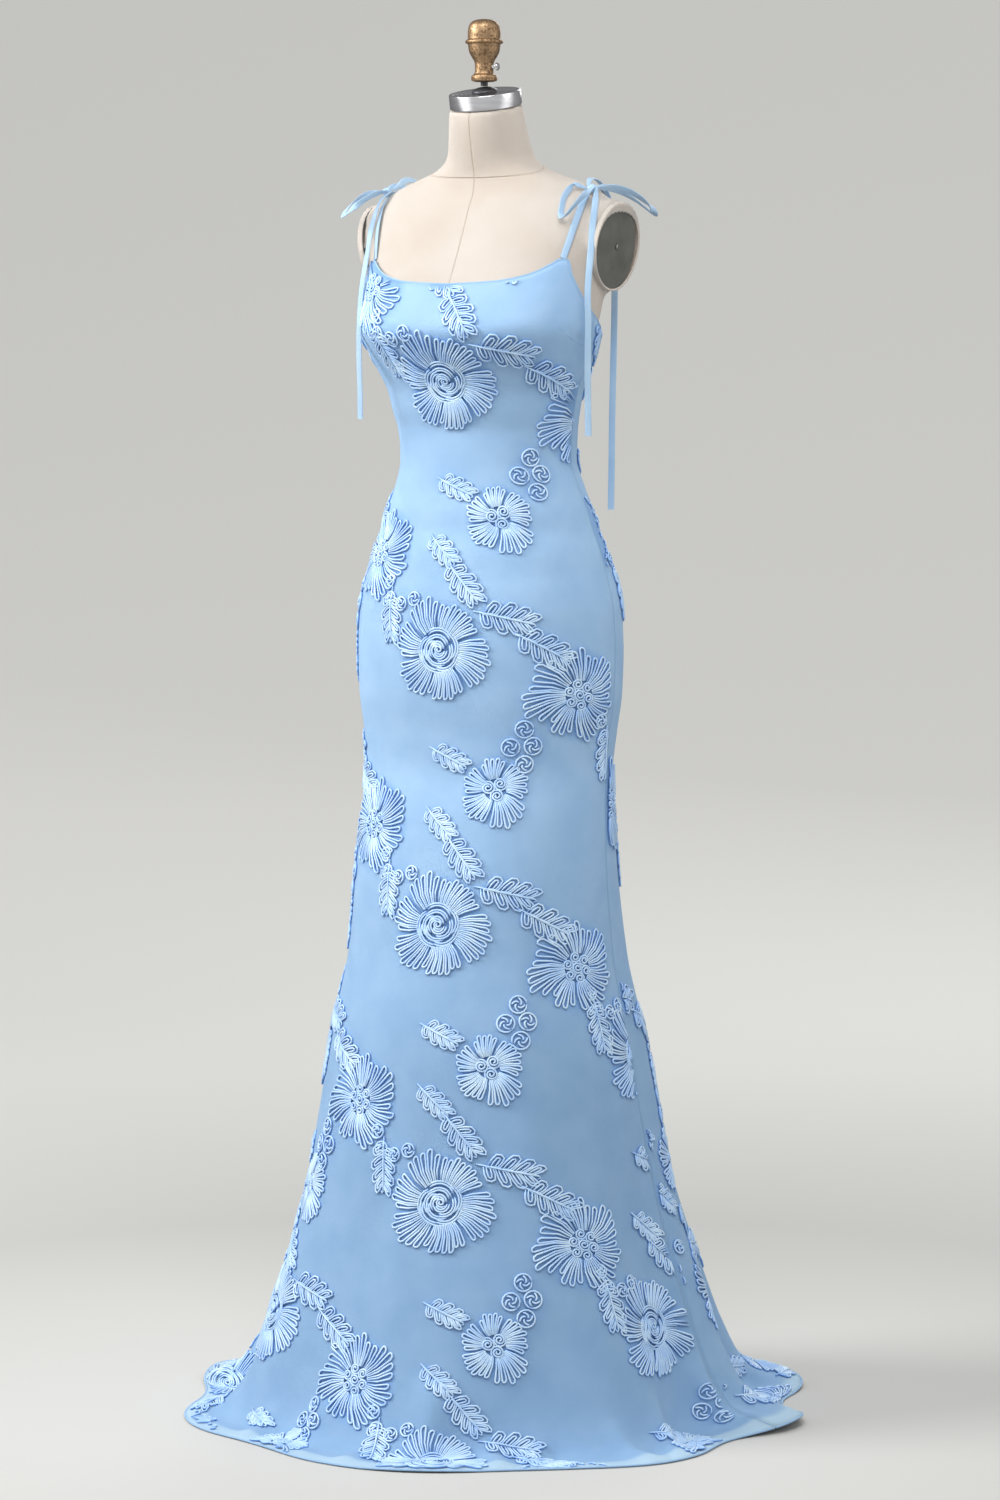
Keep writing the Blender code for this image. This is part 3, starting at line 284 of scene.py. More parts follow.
def softWear():
    # broad mottling and fine specks, for metal, paint and cloth covers alike
    nodes, given, result = newGroup("softWear", {"Scale": 30.0}, ["Mottle", "Specks"])
    fine = nodes.math("MULTIPLY", given["Scale"], 14.0)
    nodes.link(nodes.noise(given["Vector"], given["Scale"], 5.0), result["Mottle"])
    nodes.link(nodes.noise(given["Vector"], fine, 2.0), result["Specks"])
    return nodes.tree


finishes = {
    "crepe": {"colour": (0.375, 0.590, 0.865), "pale": (0.400, 0.615, 0.885), "deep": (0.350, 0.565, 0.845),
              # the colour mixed in round and below the cords is painted shade
              "sheer": (0.48, 0.67, 0.83), "under": (0.250, 0.455, 0.775), "low": (0.76, 0.80, 0.84),
              # the colour multiplied in from the knees down is painted shade
              "paintedShadeFrom": (0.60, 0.98)},        # metres of cloth below the neckline
    # cord colours: the deep blue of the sides is painted shade and the pale top a painted highlight
    "cord": {"side": (0.225, 0.430, 0.800), "colour": (0.370, 0.605, 0.940), "paintedHighlight": (0.690, 0.865, 1.000),
             "deep": (0.66, 0.78, 0.95)},
    "tie": {"colour": (0.41, 0.62, 0.87), "pale": (0.50, 0.71, 0.92)},
    "linen": {"colour": (0.690, 0.613, 0.540), "pale": (0.725, 0.655, 0.585), "warm": (0.650, 0.565, 0.485),
              "seam": (0.50, 0.39, 0.29), "seamWidth": 0.0013, "neckSeam": 1.4475, "neckTilt": 0.27},
    "steel": {"light": (0.88, 0.88, 0.89), "dark": (0.76, 0.76, 0.77)},
    "brass": {"light": (0.40, 0.265, 0.150), "dark": (0.15, 0.088, 0.045)},
    "plate": {"colour": (0.10, 0.10, 0.088), "pale": (0.145, 0.145, 0.13)},
    "paint": {"colour": (0.045, 0.045, 0.05), "pale": (0.07, 0.07, 0.075)},
    "nickel": {"colour": (0.72, 0.72, 0.72)},
    "bolt": {"colour": (0.26, 0.26, 0.25)},
    # the floor's tones are painted shade: darkest on the floor a metre or so out, lighter up the wall
    "floor": [(0.03, (0.59, 0.58, 0.555)), (0.12, (0.475, 0.475, 0.455)), (0.26, (0.625, 0.625, 0.60)),
              (0.50, (0.78, 0.77, 0.74))],          # outwards from the dress; 1 is ten metres off
}


def dressCrepe(weave):
    look = finishes["crepe"]
    made = Shading("dressCrepe", look["colour"], 0.80)
    chart = made.coordinates("UV")
    cloth = made.group(weave, chart, Threads=1500.0, Crinkle=0.6)
    colour = made.ramp(cloth["Slub"], [(0.35, look["deep"]), (0.5, look["colour"]), (0.65, look["pale"])])
    # painted shade: the cloth is made darker from the knees down towards the floor
    knees, ankles = look["paintedShadeFrom"]
    colour = made.mix(made.span(made.part(chart, "Y"), knees, ankles, 0.0, 1.0), colour, look["low"], "MULTIPLY")
    # painted shade on the cloth round and below the cords
    shaded = made.mix(made.attribute("under"), colour, look["under"])
    made.feed("Base Color", made.mix(made.attribute("sheer"), shaded, look["sheer"]))
    made.settings({"Sheen Weight": 0.22, "Sheen Roughness": 0.5, "Sheen Tint": (0.70, 0.87, 1.0),
                   "Specular IOR Level": 0.22})
    made.bump(cloth["Height"], 0.00012)
    return made.material


def satinCord(wear):
    # painted highlight along the top of each cord, painted shade in deep blue down its sides
    look = finishes["cord"]
    made = Shading("satinCord", look["colour"], 0.34)
    marks = made.group(wear, made.coordinates("Object"), Scale=38.0)
    across = made.ramp(made.attribute("paintedShadeCrown"), [(0.05, look["side"]), (0.48, look["colour"]), (0.90, look["paintedHighlight"])])
    share = made.span(marks["Mottle"], 0.40, 0.62, 0.75, 0.0)
    made.feed("Base Color", made.mix(share, across, look["deep"], "MULTIPLY"))
    made.feed("Roughness", made.span(marks["Specks"], 0.3, 0.7, 0.24, 0.42))
    made.settings({"Specular IOR Level": 0.6, "Sheen Weight": 0.15, "Sheen Tint": (0.85, 0.92, 1.0)})
    made.bump(marks["Specks"], 0.0003, 0.5)
    return made.material


def tieCloth(weave):
    look = finishes["tie"]
    made = Shading("tieCloth", look["colour"], 0.55)
    cloth = made.group(weave, made.coordinates("Object"), Threads=1700.0, Crinkle=0.9)
    made.feed("Base Color", made.ramp(cloth["Slub"], [(0.3, look["colour"]), (0.7, look["pale"])]))
    made.settings({"Sheen Weight": 0.35, "Sheen Roughness": 0.4})
    made.bump(cloth["Height"], 0.00012)
    return made.material


def linenCover(weave, wear):
    look = finishes["linen"]
    made = Shading("linenCover", look["colour"], 0.88)
    place = made.coordinates("Object")
    cloth = made.group(weave, place, Threads=1300.0, Crinkle=0.8)
    mottle = made.group(wear, place, Scale=9.0)["Mottle"]
    colour = made.ramp(mottle, [(0.35, look["warm"]), (0.52, look["colour"]), (0.7, look["pale"])])
    # centre seams front and back, and the seam round the foot of the neck
    tilt = made.math("MULTIPLY", made.part(place, "Y"), look["neckTilt"])
    level = made.math("SUBTRACT", made.math("SUBTRACT", made.part(place, "Z"), tilt), look["neckSeam"])
    seams = [made.span(made.math("ABSOLUTE", away), 0.0, look["seamWidth"], 0.0, 1.0)
             for away in (made.part(place, "X"), level)]
    groove = made.math("MINIMUM", *seams)
    made.feed("Base Color", made.mix(made.span(groove, 0.0, 1.0, 0.55, 0.0), colour, look["seam"]))
    made.settings({"Sheen Weight": 0.25})
    made.bump(made.math("ADD", made.math("MULTIPLY", groove, 6.0), cloth["Height"]), 0.00016)
    return made.material


def brushedSteel(wear):
    look = finishes["steel"]
    made = Shading("capSteel", look["light"], 0.28, 1.0)
    stretch = made.add("ShaderNodeMapping")
    stretch.inputs["Scale"].default_value = (1.0, 1.0, 9.0)
    made.link(made.coordinates("Object"), stretch.inputs["Vector"])
    lines = made.group(wear, stretch.outputs["Vector"], Scale=22.0)["Mottle"]
    made.feed("Base Color", made.ramp(lines, [(0.3, look["dark"]), (0.7, look["light"])]))
    made.feed("Roughness", made.span(lines, 0.3, 0.7, 0.16, 0.22))
    return made.material


def agedBrass(wear):
    look = finishes["brass"]
    made = Shading("agedBrass", look["light"], 0.42, 1.0)
    spots = made.group(wear, made.coordinates("Object"), Scale=380.0)["Mottle"]
    made.feed("Base Color", made.ramp(spots, [(0.34, look["dark"]), (0.52, look["light"])]))
    made.feed("Roughness", made.span(spots, 0.3, 0.7, 0.62, 0.34))
    made.bump(spots, 0.0005, 0.8)
    return made.material


def plainCoat(name, wear, look, roughness, metallic=0.0):
    made = Shading(name, look["colour"], roughness, metallic)
    marks = made.group(wear, made.coordinates("Object"), Scale=40.0)
    pale = look.get("pale", look["colour"])
    made.feed("Base Color", made.ramp(marks["Mottle"], [(0.3, look["colour"]), (0.7, pale)]))
    made.feed("Roughness", made.span(marks["Mottle"], 0.3, 0.7, roughness - 0.06, roughness + 0.08))
    made.bump(marks["Specks"], 0.0001, 0.5)
    return made.material


def finishPiece(name, work, material, slot, body="dress", replaced=(), smooth=45):
    mesh = bpy.data.meshes.new(name)
    work.to_mesh(mesh)
    work.free()
    mesh.materials.append(material)
    mesh.shade_smooth()
    if smooth:
        mesh.set_sharp_from_angle(angle=math.radians(smooth))
    piece = bpy.data.objects.new(name, mesh)
    bpy.context.scene.collection.objects.link(piece)
    if slot:
        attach(piece, body)
    if replaced:
        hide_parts(*replaced)
    return piece


def gridWork(columns, rows, place, wraps=False, closed=False):
    # a grid laid over any surface: place takes arrays from 0 to 1 across and along it
    work = bmesh.new()
    bmesh.ops.create_grid(work, x_segments=columns, y_segments=rows, size=0.5)
    parts = np.array([vert.co[:2] for vert in work.verts]) + 0.5
    for vert, point in zip(work.verts, place(parts[:, 0], parts[:, 1])):
        vert.co = point
    if wraps:
        bmesh.ops.remove_doubles(work, verts=work.verts, dist=1e-6)
    if closed:
        bmesh.ops.holes_fill(work, edges=[edge for edge in work.edges if edge.is_boundary])
    if wraps:
        bmesh.ops.recalc_face_normals(work, faces=work.faces)
    return work, parts.T


def turnedWork(profile, steps, capped=True):
    work = bmesh.new()
    verts = [work.verts.new((radius, 0, height)) for radius, height in profile]
    edges = [work.edges.new(pair) for pair in zip(verts, verts[1:])]
    bmesh.ops.spin(work, geom=verts + edges, cent=(0, 0, 0), axis=(0, 0, 1), angle=math.tau,
                   steps=steps, use_merge=True)
    bmesh.ops.remove_doubles(work, verts=work.verts, dist=1e-6)
    if capped:
        bmesh.ops.holes_fill(work, edges=[edge for edge in work.edges if edge.is_boundary])
    bmesh.ops.recalc_face_normals(work, faces=work.faces)
    return work


def turnedPiece(name, profile, steps, material, slot=None, capped=True, matrix=None, **more):
    work = turnedWork(profile, steps, capped)
    if matrix:
        bmesh.ops.transform(work, matrix=matrix, verts=work.verts)
    return finishPiece(name, work, material, slot, **more)


def cubicBetween(part, first, rise, start, end):
    return first + part * (start + part * (3 * rise - 2 * start - end + part * (start + end - 2 * rise)))


def smoothThrough(places, values):
    # monotone cubic through given values
    x, y = np.array(places, float), np.array(values, float)
    step = np.diff(x)
    slope = np.diff(y) / step
    before, after = slope[:-1], slope[1:]
    both = before * after
    total = np.where(both > 0, before + after, 1.0)
    tangent = np.concatenate([slope[:1], np.where(both > 0, 2 * both / total, 0.0), slope[-1:]])

    def value(place):
        place = np.clip(place, x[0], x[-1])
        row = np.clip(np.searchsorted(x, place) - 1, 0, len(step) - 1)
        part = (place - x[row]) / step[row]
        start, end = tangent[row] * step[row], tangent[row + 1] * step[row]
        return cubicBetween(part, y[row], y[row + 1] - y[row], start, end)
    return value


bodyShape = {
    "rows": [  # height, half width, half depth, centre y, power
        (0.760, 0.147, 0.100, 0.003, 1.00), (0.800, 0.153, 0.106, 0.004, 1.00),
        (0.846, 0.1585, 0.113, 0.005, 1.00), (0.893, 0.1595, 0.116, 0.006, 1.00),
        (0.940, 0.1575, 0.114, 0.006, 1.00), (0.963, 0.153, 0.1125, 0.007, 1.00),
        (0.986, 0.146, 0.108, 0.008, 1.00), (1.010, 0.139, 0.1035, 0.008, 1.00),
        (1.033, 0.130, 0.0945, 0.008, 1.00), (1.056, 0.123, 0.090, 0.006, 1.00),
        (1.079, 0.114, 0.0835, 0.005, 1.00), (1.115, 0.104, 0.079, 0.002, 1.00),
        (1.149, 0.106, 0.078, 0.000, 1.00), (1.172, 0.111, 0.0805, -0.004, 1.00),
        (1.195, 0.116, 0.083, -0.006, 1.00), (1.219, 0.126, 0.091, -0.009, 1.00),
        (1.242, 0.134, 0.100, -0.014, 1.00), (1.265, 0.141, 0.107, -0.018, 0.98),
        (1.290, 0.143, 0.101, -0.011, 0.93), (1.320, 0.145, 0.091, -0.001, 0.88),
        (1.350, 0.147, 0.083, 0.009, 0.84), (1.380, 0.148, 0.075, 0.017, 0.82),
        (1.404, 0.146, 0.067, 0.021, 0.84), (1.419, 0.138, 0.058, 0.022, 0.90),
        (1.430, 0.120, 0.053, 0.020, 0.94), (1.440, 0.094, 0.050, 0.018, 0.97),
        (1.450, 0.068, 0.048, 0.014, 1.00), (1.464, 0.052, 0.047, 0.009, 1.00),
        (1.495, 0.0455, 0.0455, 0.001, 1.00), (1.5215, 0.0425, 0.0425, -0.004, 1.00),
    ],
    "bust": {"height": 1.258, "spread": 0.040, "angle": 36.0, "width": 27.0, "depth": 0.0070},
    "neckTilt": 11.0,
    "neckTop": (0.0, -0.004, 1.5215),
    "columns": 96, "rowsUp": 170, "voxel": 0.0042,
}
dressShape = {
    "skirt": [
        (0.760, 0.1515, 0.1050, 0.002, 1.00), (0.700, 0.1530, 0.1180, -0.002, 1.00),
        (0.634, 0.1560, 0.1350, -0.003, 1.00), (0.540, 0.1635, 0.1540, 0.000, 1.00),
        (0.445, 0.1830, 0.1780, 0.000, 1.00), (0.350, 0.2000, 0.1960, 0.001, 1.00),
        (0.255, 0.2180, 0.2150, 0.002, 1.00), (0.160, 0.2440, 0.2430, 0.004, 1.00),
        (0.080, 0.2680, 0.2680, 0.006, 1.00), (0.032, 0.2850, 0.2860, 0.008, 1.00),
        (0.009, 0.3000, 0.3030, 0.010, 1.00), (0.000, 0.3180, 0.3230, 0.012, 1.00),
        (0.000, 0.3560, 0.3640, 0.014, 1.00),
    ],
    "restGap": 0.0022,
    "wall": 0.0018,          # from the cloth's inner face to its outer one
    "thick": 0.0011,         # of the shell that is seen
    "seamGap": 0.0003,
    "topEdge": [(0, 1.3160), (20, 1.3190), (36, 1.3270), (47, 1.3390), (51, 1.3440), (56, 1.3440),
                (62, 1.3270), (75, 1.3010), (90, 1.2810), (105, 1.2690), (120, 1.2640),
                (150, 1.2620), (180, 1.2610)],
    "folds": [  # degrees, width, top, depth, lift
        (-168, 10, 0.42, 0.022, 0.014), (-146, 9, 0.36, -0.016, 0.000), (-127, 9, 0.46, 0.024, 0.016),
        (-106, 8, 0.34, -0.015, 0.000), (-88, 9, 0.40, 0.020, 0.019), (-66, 8, 0.30, -0.013, 0.000),
        (-45, 10, 0.34, 0.012, 0.000), (-22, 9, 0.26, -0.009, 0.000), (6, 13, 0.30, 0.010, 0.000),
        (34, 10, 0.24, -0.008, 0.000), (60, 9, 0.36, 0.013, 0.000), (80, 7, 0.38, -0.014, 0.000),
        (97, 8, 0.46, 0.023, 0.020), (114, 8, 0.36, -0.016, 0.000), (133, 9, 0.44, 0.022, 0.015),
        (153, 9, 0.34, -0.015, 0.000), (172, 9, 0.40, 0.018, 0.012),
    ],
    "foldRound": 1.2, "foldFade": 1.4, "liftBelow": 0.10, "edgeDrop": 0.55,
    "creases": [  # start degrees and height, end degrees and height, width, depth
        (86, 1.247, 60, 1.268, 0.0035, -0.0014), (-86, 1.247, -60, 1.268, 0.0035, -0.0014),
        (86, 1.240, 62, 1.259, 0.0045, 0.0008), (-86, 1.240, -62, 1.259, 0.0045, 0.0008),
        (-5, 0.46, -9, 0.16, 0.013, -0.0030), (2, 0.40, 3, 0.12, 0.012, 0.0024),
        (38, 0.62, 44, 0.20, 0.020, 0.0022), (70, 0.50, 74, 0.10, 0.012, -0.0030),
        (-34, 0.52, -40, 0.14, 0.014, 0.0028), (-60, 0.46, -64, 0.10, 0.012, -0.0026),
        (14, 0.085, 15, 0.003, 0.0105, 0.0150), (-14, 0.060, -16, 0.002, 0.0110, 0.0080),
        (106, 0.60, 103, 0.12, 0.011, 0.0035), (126, 0.52, 122, 0.10, 0.013, -0.0030),
        (148, 0.56, 144, 0.12, 0.012, 0.0032), (164, 0.40, 166, 0.08, 0.012, -0.0028),
        (-104, 0.60, -100, 0.12, 0.012, 0.0034), (-121, 0.50, -117, 0.10, 0.012, -0.0030),
        (-141, 0.56, -137, 0.12, 0.013, 0.0032), (-160, 0.42, -157, 0.08, 0.012, -0.0028),
        (80, 1.13, 30, 1.105, 0.008, -0.0008), (-78, 1.14, -34, 1.112, 0.008, -0.0008),
        (100, 1.12, 150, 1.10, 0.008, -0.0010), (-100, 1.13, -146, 1.105, 0.008, -0.0010),
    ],
    "hemCreases": [  # degrees, start and end over the hem in metres, slant, width, depth
        (-84, 0.138, 0.004, 5, 0.0135, 0.0096), (-72, 0.103, 0.002, -4, 0.0126, -0.0080),
        (-61, 0.127, 0.003, 6, 0.0144, 0.0088), (-49, 0.092, 0.002, -3, 0.0126, 0.0072),
        (-33, 0.081, 0.002, 5, 0.0135, 0.0064), (2, 0.069, 0.002, -4, 0.0126, 0.0056),
        (27, 0.081, 0.002, 4, 0.0126, 0.0064), (43, 0.069, 0.002, -4, 0.0117, -0.0064),
        (55, 0.092, 0.002, 5, 0.0135, 0.0080), (70, 0.115, 0.003, -5, 0.0135, 0.0088),
        (87, 0.138, 0.004, 4, 0.0135, 0.0096), (108, 0.103, 0.002, -4, 0.0126, 0.0080),
        (124, 0.092, 0.002, 5, 0.0126, -0.0072), (141, 0.127, 0.003, -5, 0.0144, 0.0088),
        (162, 0.092, 0.002, 4, 0.0126, 0.0080), (-171, 0.103, 0.002, -5, 0.0135, 0.0080),
        (-151, 0.127, 0.003, 5, 0.0135, 0.0088), (-133, 0.092, 0.002, -4, 0.0126, -0.0072),
        (-115, 0.103, 0.002, 5, 0.0135, 0.0080), (-97, 0.092, 0.002, -4, 0.0126, 0.0072),
    ],
    "chartRadius": 0.15,     # metres for one radian, for the widths of the creases
    "hemRadius": 0.32,
    "ripple": (0.45, 0.50, 0.0012),     # slight unevenness: where it starts, how soon it is full, depth
    "offFloor": 0.0012,
    "sheerBorder": 0.026, "sheerFade": 0.004,
}


def columnsOf(places, rows):
    return [smoothThrough(places, [row[column] for row in rows]) for column in range(1, 5)]


formAt = columnsOf([row[0] for row in bodyShape["rows"]], bodyShape["rows"])


def dressRows():
    gap = dressShape["restGap"]
    worn = [row for row in bodyShape["rows"] if 0.78 < row[0] < 1.37]
    grown = [(row[0], row[1] + gap, row[2] + gap, row[3], row[4]) for row in reversed(worn)]
    rows = grown + dressShape["skirt"]
    lengths = [0.0]
    for above, below in zip(rows, rows[1:]):
        flare = (below[1] + below[2] - above[1] - above[2]) / 2
        lengths.append(lengths[-1] + math.hypot(above[0] - below[0], flare))
    return rows, lengths


rowsDown, lengthsDown = dressRows()
hemDown, floorDown = lengthsDown[-1], lengthsDown[-2]
heightAt = smoothThrough(lengthsDown, [row[0] for row in rowsDown])
dressAt = columnsOf(lengthsDown, rowsDown)
topHeight = smoothThrough([row[0] for row in dressShape["topEdge"]], [row[1] for row in dressShape["topEdge"]])
downTable = np.linspace(0.0, hemDown, 4000)
heightTable = heightAt(downTable)


def downTo(height):
    # length of cloth from the top row down to a height
    return np.interp(-np.asarray(height, float), -heightTable, downTable)


def topDown(degrees):
    return downTo(topHeight(np.abs(degrees)))


def signedPower(value, power):
    return np.sign(value) * np.abs(value) ** power


def turnBetween(first, second):
    return (first - second + 180.0) % 360.0 - 180.0


def sectionPoint(degrees, height, halfWidth, halfDepth, centreY, power):
    bust = bodyShape["bust"]
    across = turnBetween(np.abs(degrees), bust["angle"]) / bust["width"]
    upright = (height - bust["height"]) / bust["spread"]
    out = bust["depth"] * np.exp(-across ** 2 - upright ** 2)
    angle = np.radians(degrees)
    x = (halfWidth + out) * signedPower(np.sin(angle), power)
    y = centreY - (halfDepth + out) * signedPower(np.cos(angle), power)
    return np.stack([x, y, height + 0 * x], -1)


def innerPoint(degrees, down):
    height = heightAt(down)
    out = np.zeros_like(height)
    lift = np.zeros_like(height)
    for turn, width, top, depth, rise in dressShape["folds"]:
        near = np.minimum(np.abs(turnBetween(degrees, turn)) / (2 * width), 1.0)
        hill = (0.5 + 0.5 * np.cos(math.pi * near)) ** dressShape["foldRound"]
        hill = np.where(height < top, hill, 0.0)
        out += hill * depth * np.maximum(0.0, 1 - height / top) ** dressShape["foldFade"]
        lift += hill * rise * np.maximum(0.0, 1 - height / dressShape["liftBelow"])
    toEdge = np.clip((down - floorDown) / (hemDown - floorDown), 0, 1)
    halfWidth, halfDepth, centreY, power = (column(down) for column in dressAt)
    point = sectionPoint(degrees, height, halfWidth + out, halfDepth + out, centreY, power)
    point[..., 2] += lift * (1 - dressShape["edgeDrop"] * toEdge)
    return point


def ridge(x, y, start, end, width, depth):
    # a soft crease from start to end, deepest at its middle
    along = np.subtract(end, start)
    size = float(np.hypot(*along))
    x, y = x - start[0], y - start[1]
    part = np.clip((x * along[0] + y * along[1]) / size ** 2, 0.0, 1.0)
    away = (x * along[1] - y * along[0]) / size
    return depth * np.sin(math.pi * part) ** 0.7 * np.exp(-(away / width) ** 2)


def creaseDepth(degrees, down):
    total = np.zeros(np.broadcast(degrees, down).shape)
    radius = dressShape["chartRadius"]
    x = np.radians(degrees) * radius
    for fromTurn, fromHeight, toTurn, toHeight, width, depth in dressShape["creases"]:
        start = (math.radians(fromTurn) * radius, float(downTo(fromHeight)))
        end = (math.radians(toTurn) * radius, float(downTo(toHeight)))
        total += ridge(x, down, start, end, width, depth)
    for turn, above, below, slant, width, depth in dressShape["hemCreases"]:
        x = np.radians(turnBetween(degrees, turn)) * dressShape["hemRadius"]
        slantAway = math.radians(slant) * dressShape["hemRadius"]
        total += ridge(x, down, (0.0, hemDown - above), (slantAway, hemDown - below), width, depth)
    start, full, depth = dressShape["ripple"]
    turn = np.radians(degrees)
    low = np.clip((down - start) / full, 0.0, 1.0)
    total += low * depth * (np.sin(5 * turn + 9 * down) + 0.6 * np.sin(9 * turn - 6 * down + 1.3))
    return total


def clothPlace(degrees, down, out=0.0):
    # point on the cloth's outer face, moved out by a further distance, and the way out
    turn, step = 1.2, 0.004
    around = innerPoint(degrees + turn, down) - innerPoint(degrees - turn, down)
    along = innerPoint(degrees, np.minimum(down + step, hemDown)) - innerPoint(degrees, down - step)
    normal = np.cross(along, around)
    normal /= np.linalg.norm(normal, axis=-1, keepdims=True)
    off = dressShape["wall"] + creaseDepth(degrees, down) + out
    point = innerPoint(degrees, down) + normal * np.expand_dims(off, -1)
    point[..., 2] = np.maximum(point[..., 2], dressShape["offFloor"])
    return point, normal


def clothPerDegree(degrees, down):
    angle = np.radians(degrees)
    return np.radians(np.hypot(dressAt[0](down) * np.cos(angle), dressAt[1](down) * np.sin(angle)))


panels = {
    "front": {"node": "dress_front", "from": -90.0, "to": 90.0, "columns": 168, "rows": 190,
              "repeat": (-0.002, 0.147), "middle": 0.0, "bands": (0.0, 0.50, 0.86, 1.12, 9.0)},
    "backLeft": {"node": "dress_back_left", "from": 90.0, "to": 180.0, "columns": 72, "rows": 160,
                 "repeat": (-0.105, 0.120), "middle": 180.0, "bands": (0.0, 0.80, 9.0)},
    "backRight": {"node": "dress_back_right", "from": -180.0, "to": -90.0, "columns": 72, "rows": 160,
                  "repeat": (-0.105, 0.120), "middle": -180.0, "bands": (0.0, 0.80, 9.0)},
}


def capital(title):
    return title[0].upper() + title[1:]


def panelPlaces(panel, across, along):
    gap = dressShape["seamGap"] / 2 / clothPerDegree(panel["from"] + 0 * across, along * hemDown)
    degrees = panel["from"] + gap + (panel["to"] - panel["from"] - 2 * gap) * across
    top = topDown(degrees)
    return degrees, top + (hemDown - top) * along


def makePanel(title, panel, cloth):
    work, parts = gridWork(panel["columns"], panel["rows"],
                           lambda across, along: clothPlace(*panelPlaces(panel, across, along))[0])
    degrees, down = panelPlaces(panel, *parts)
    work.faces.ensure_lookup_table()
    seen = work.faces[len(work.faces) // 2]
    seen.normal_update()
    away = seen.calc_center_median()
    if seen.normal.dot(Vector((away.x, away.y, 0))) < 0:
        bmesh.ops.reverse_faces(work, faces=work.faces)
    area = sum(face.calc_area() for face in work.faces)
    piece = finishPiece(title, work, cloth, "blue_crepe", replaced=[panel["node"]], smooth=0)

    # the flat chart for the weave, the plain border at the hem and the painted shade below and round the flowers
    mesh = piece.data
    radius = (dressAt[0](down) + dressAt[1](down)) / 2
    middle = (panel["from"] + panel["to"]) / 2
    chart = np.stack([np.radians(degrees - middle) * radius, down], -1)
    corners = np.empty(len(mesh.loops), dtype=np.int32)
    mesh.loops.foreach_get("vertex_index", corners)
    mesh.uv_layers.new(name="clothMetres").uv.foreach_set("vector", chart[corners].ravel())
    sheer = np.clip((down - hemDown + dressShape["sheerBorder"]) / dressShape["sheerFade"], 0.0, 1.0)
    for name, values in (("sheer", sheer), ("under", underFlowers(panel, degrees, down))):
        mesh.attributes.new(name, "FLOAT", "POINT").data.foreach_set("value", values)

    wall = piece.modifiers.new("wall", "SOLIDIFY")
    wall.thickness = dressShape["thick"]
    wall.offset = -1.0
    return piece


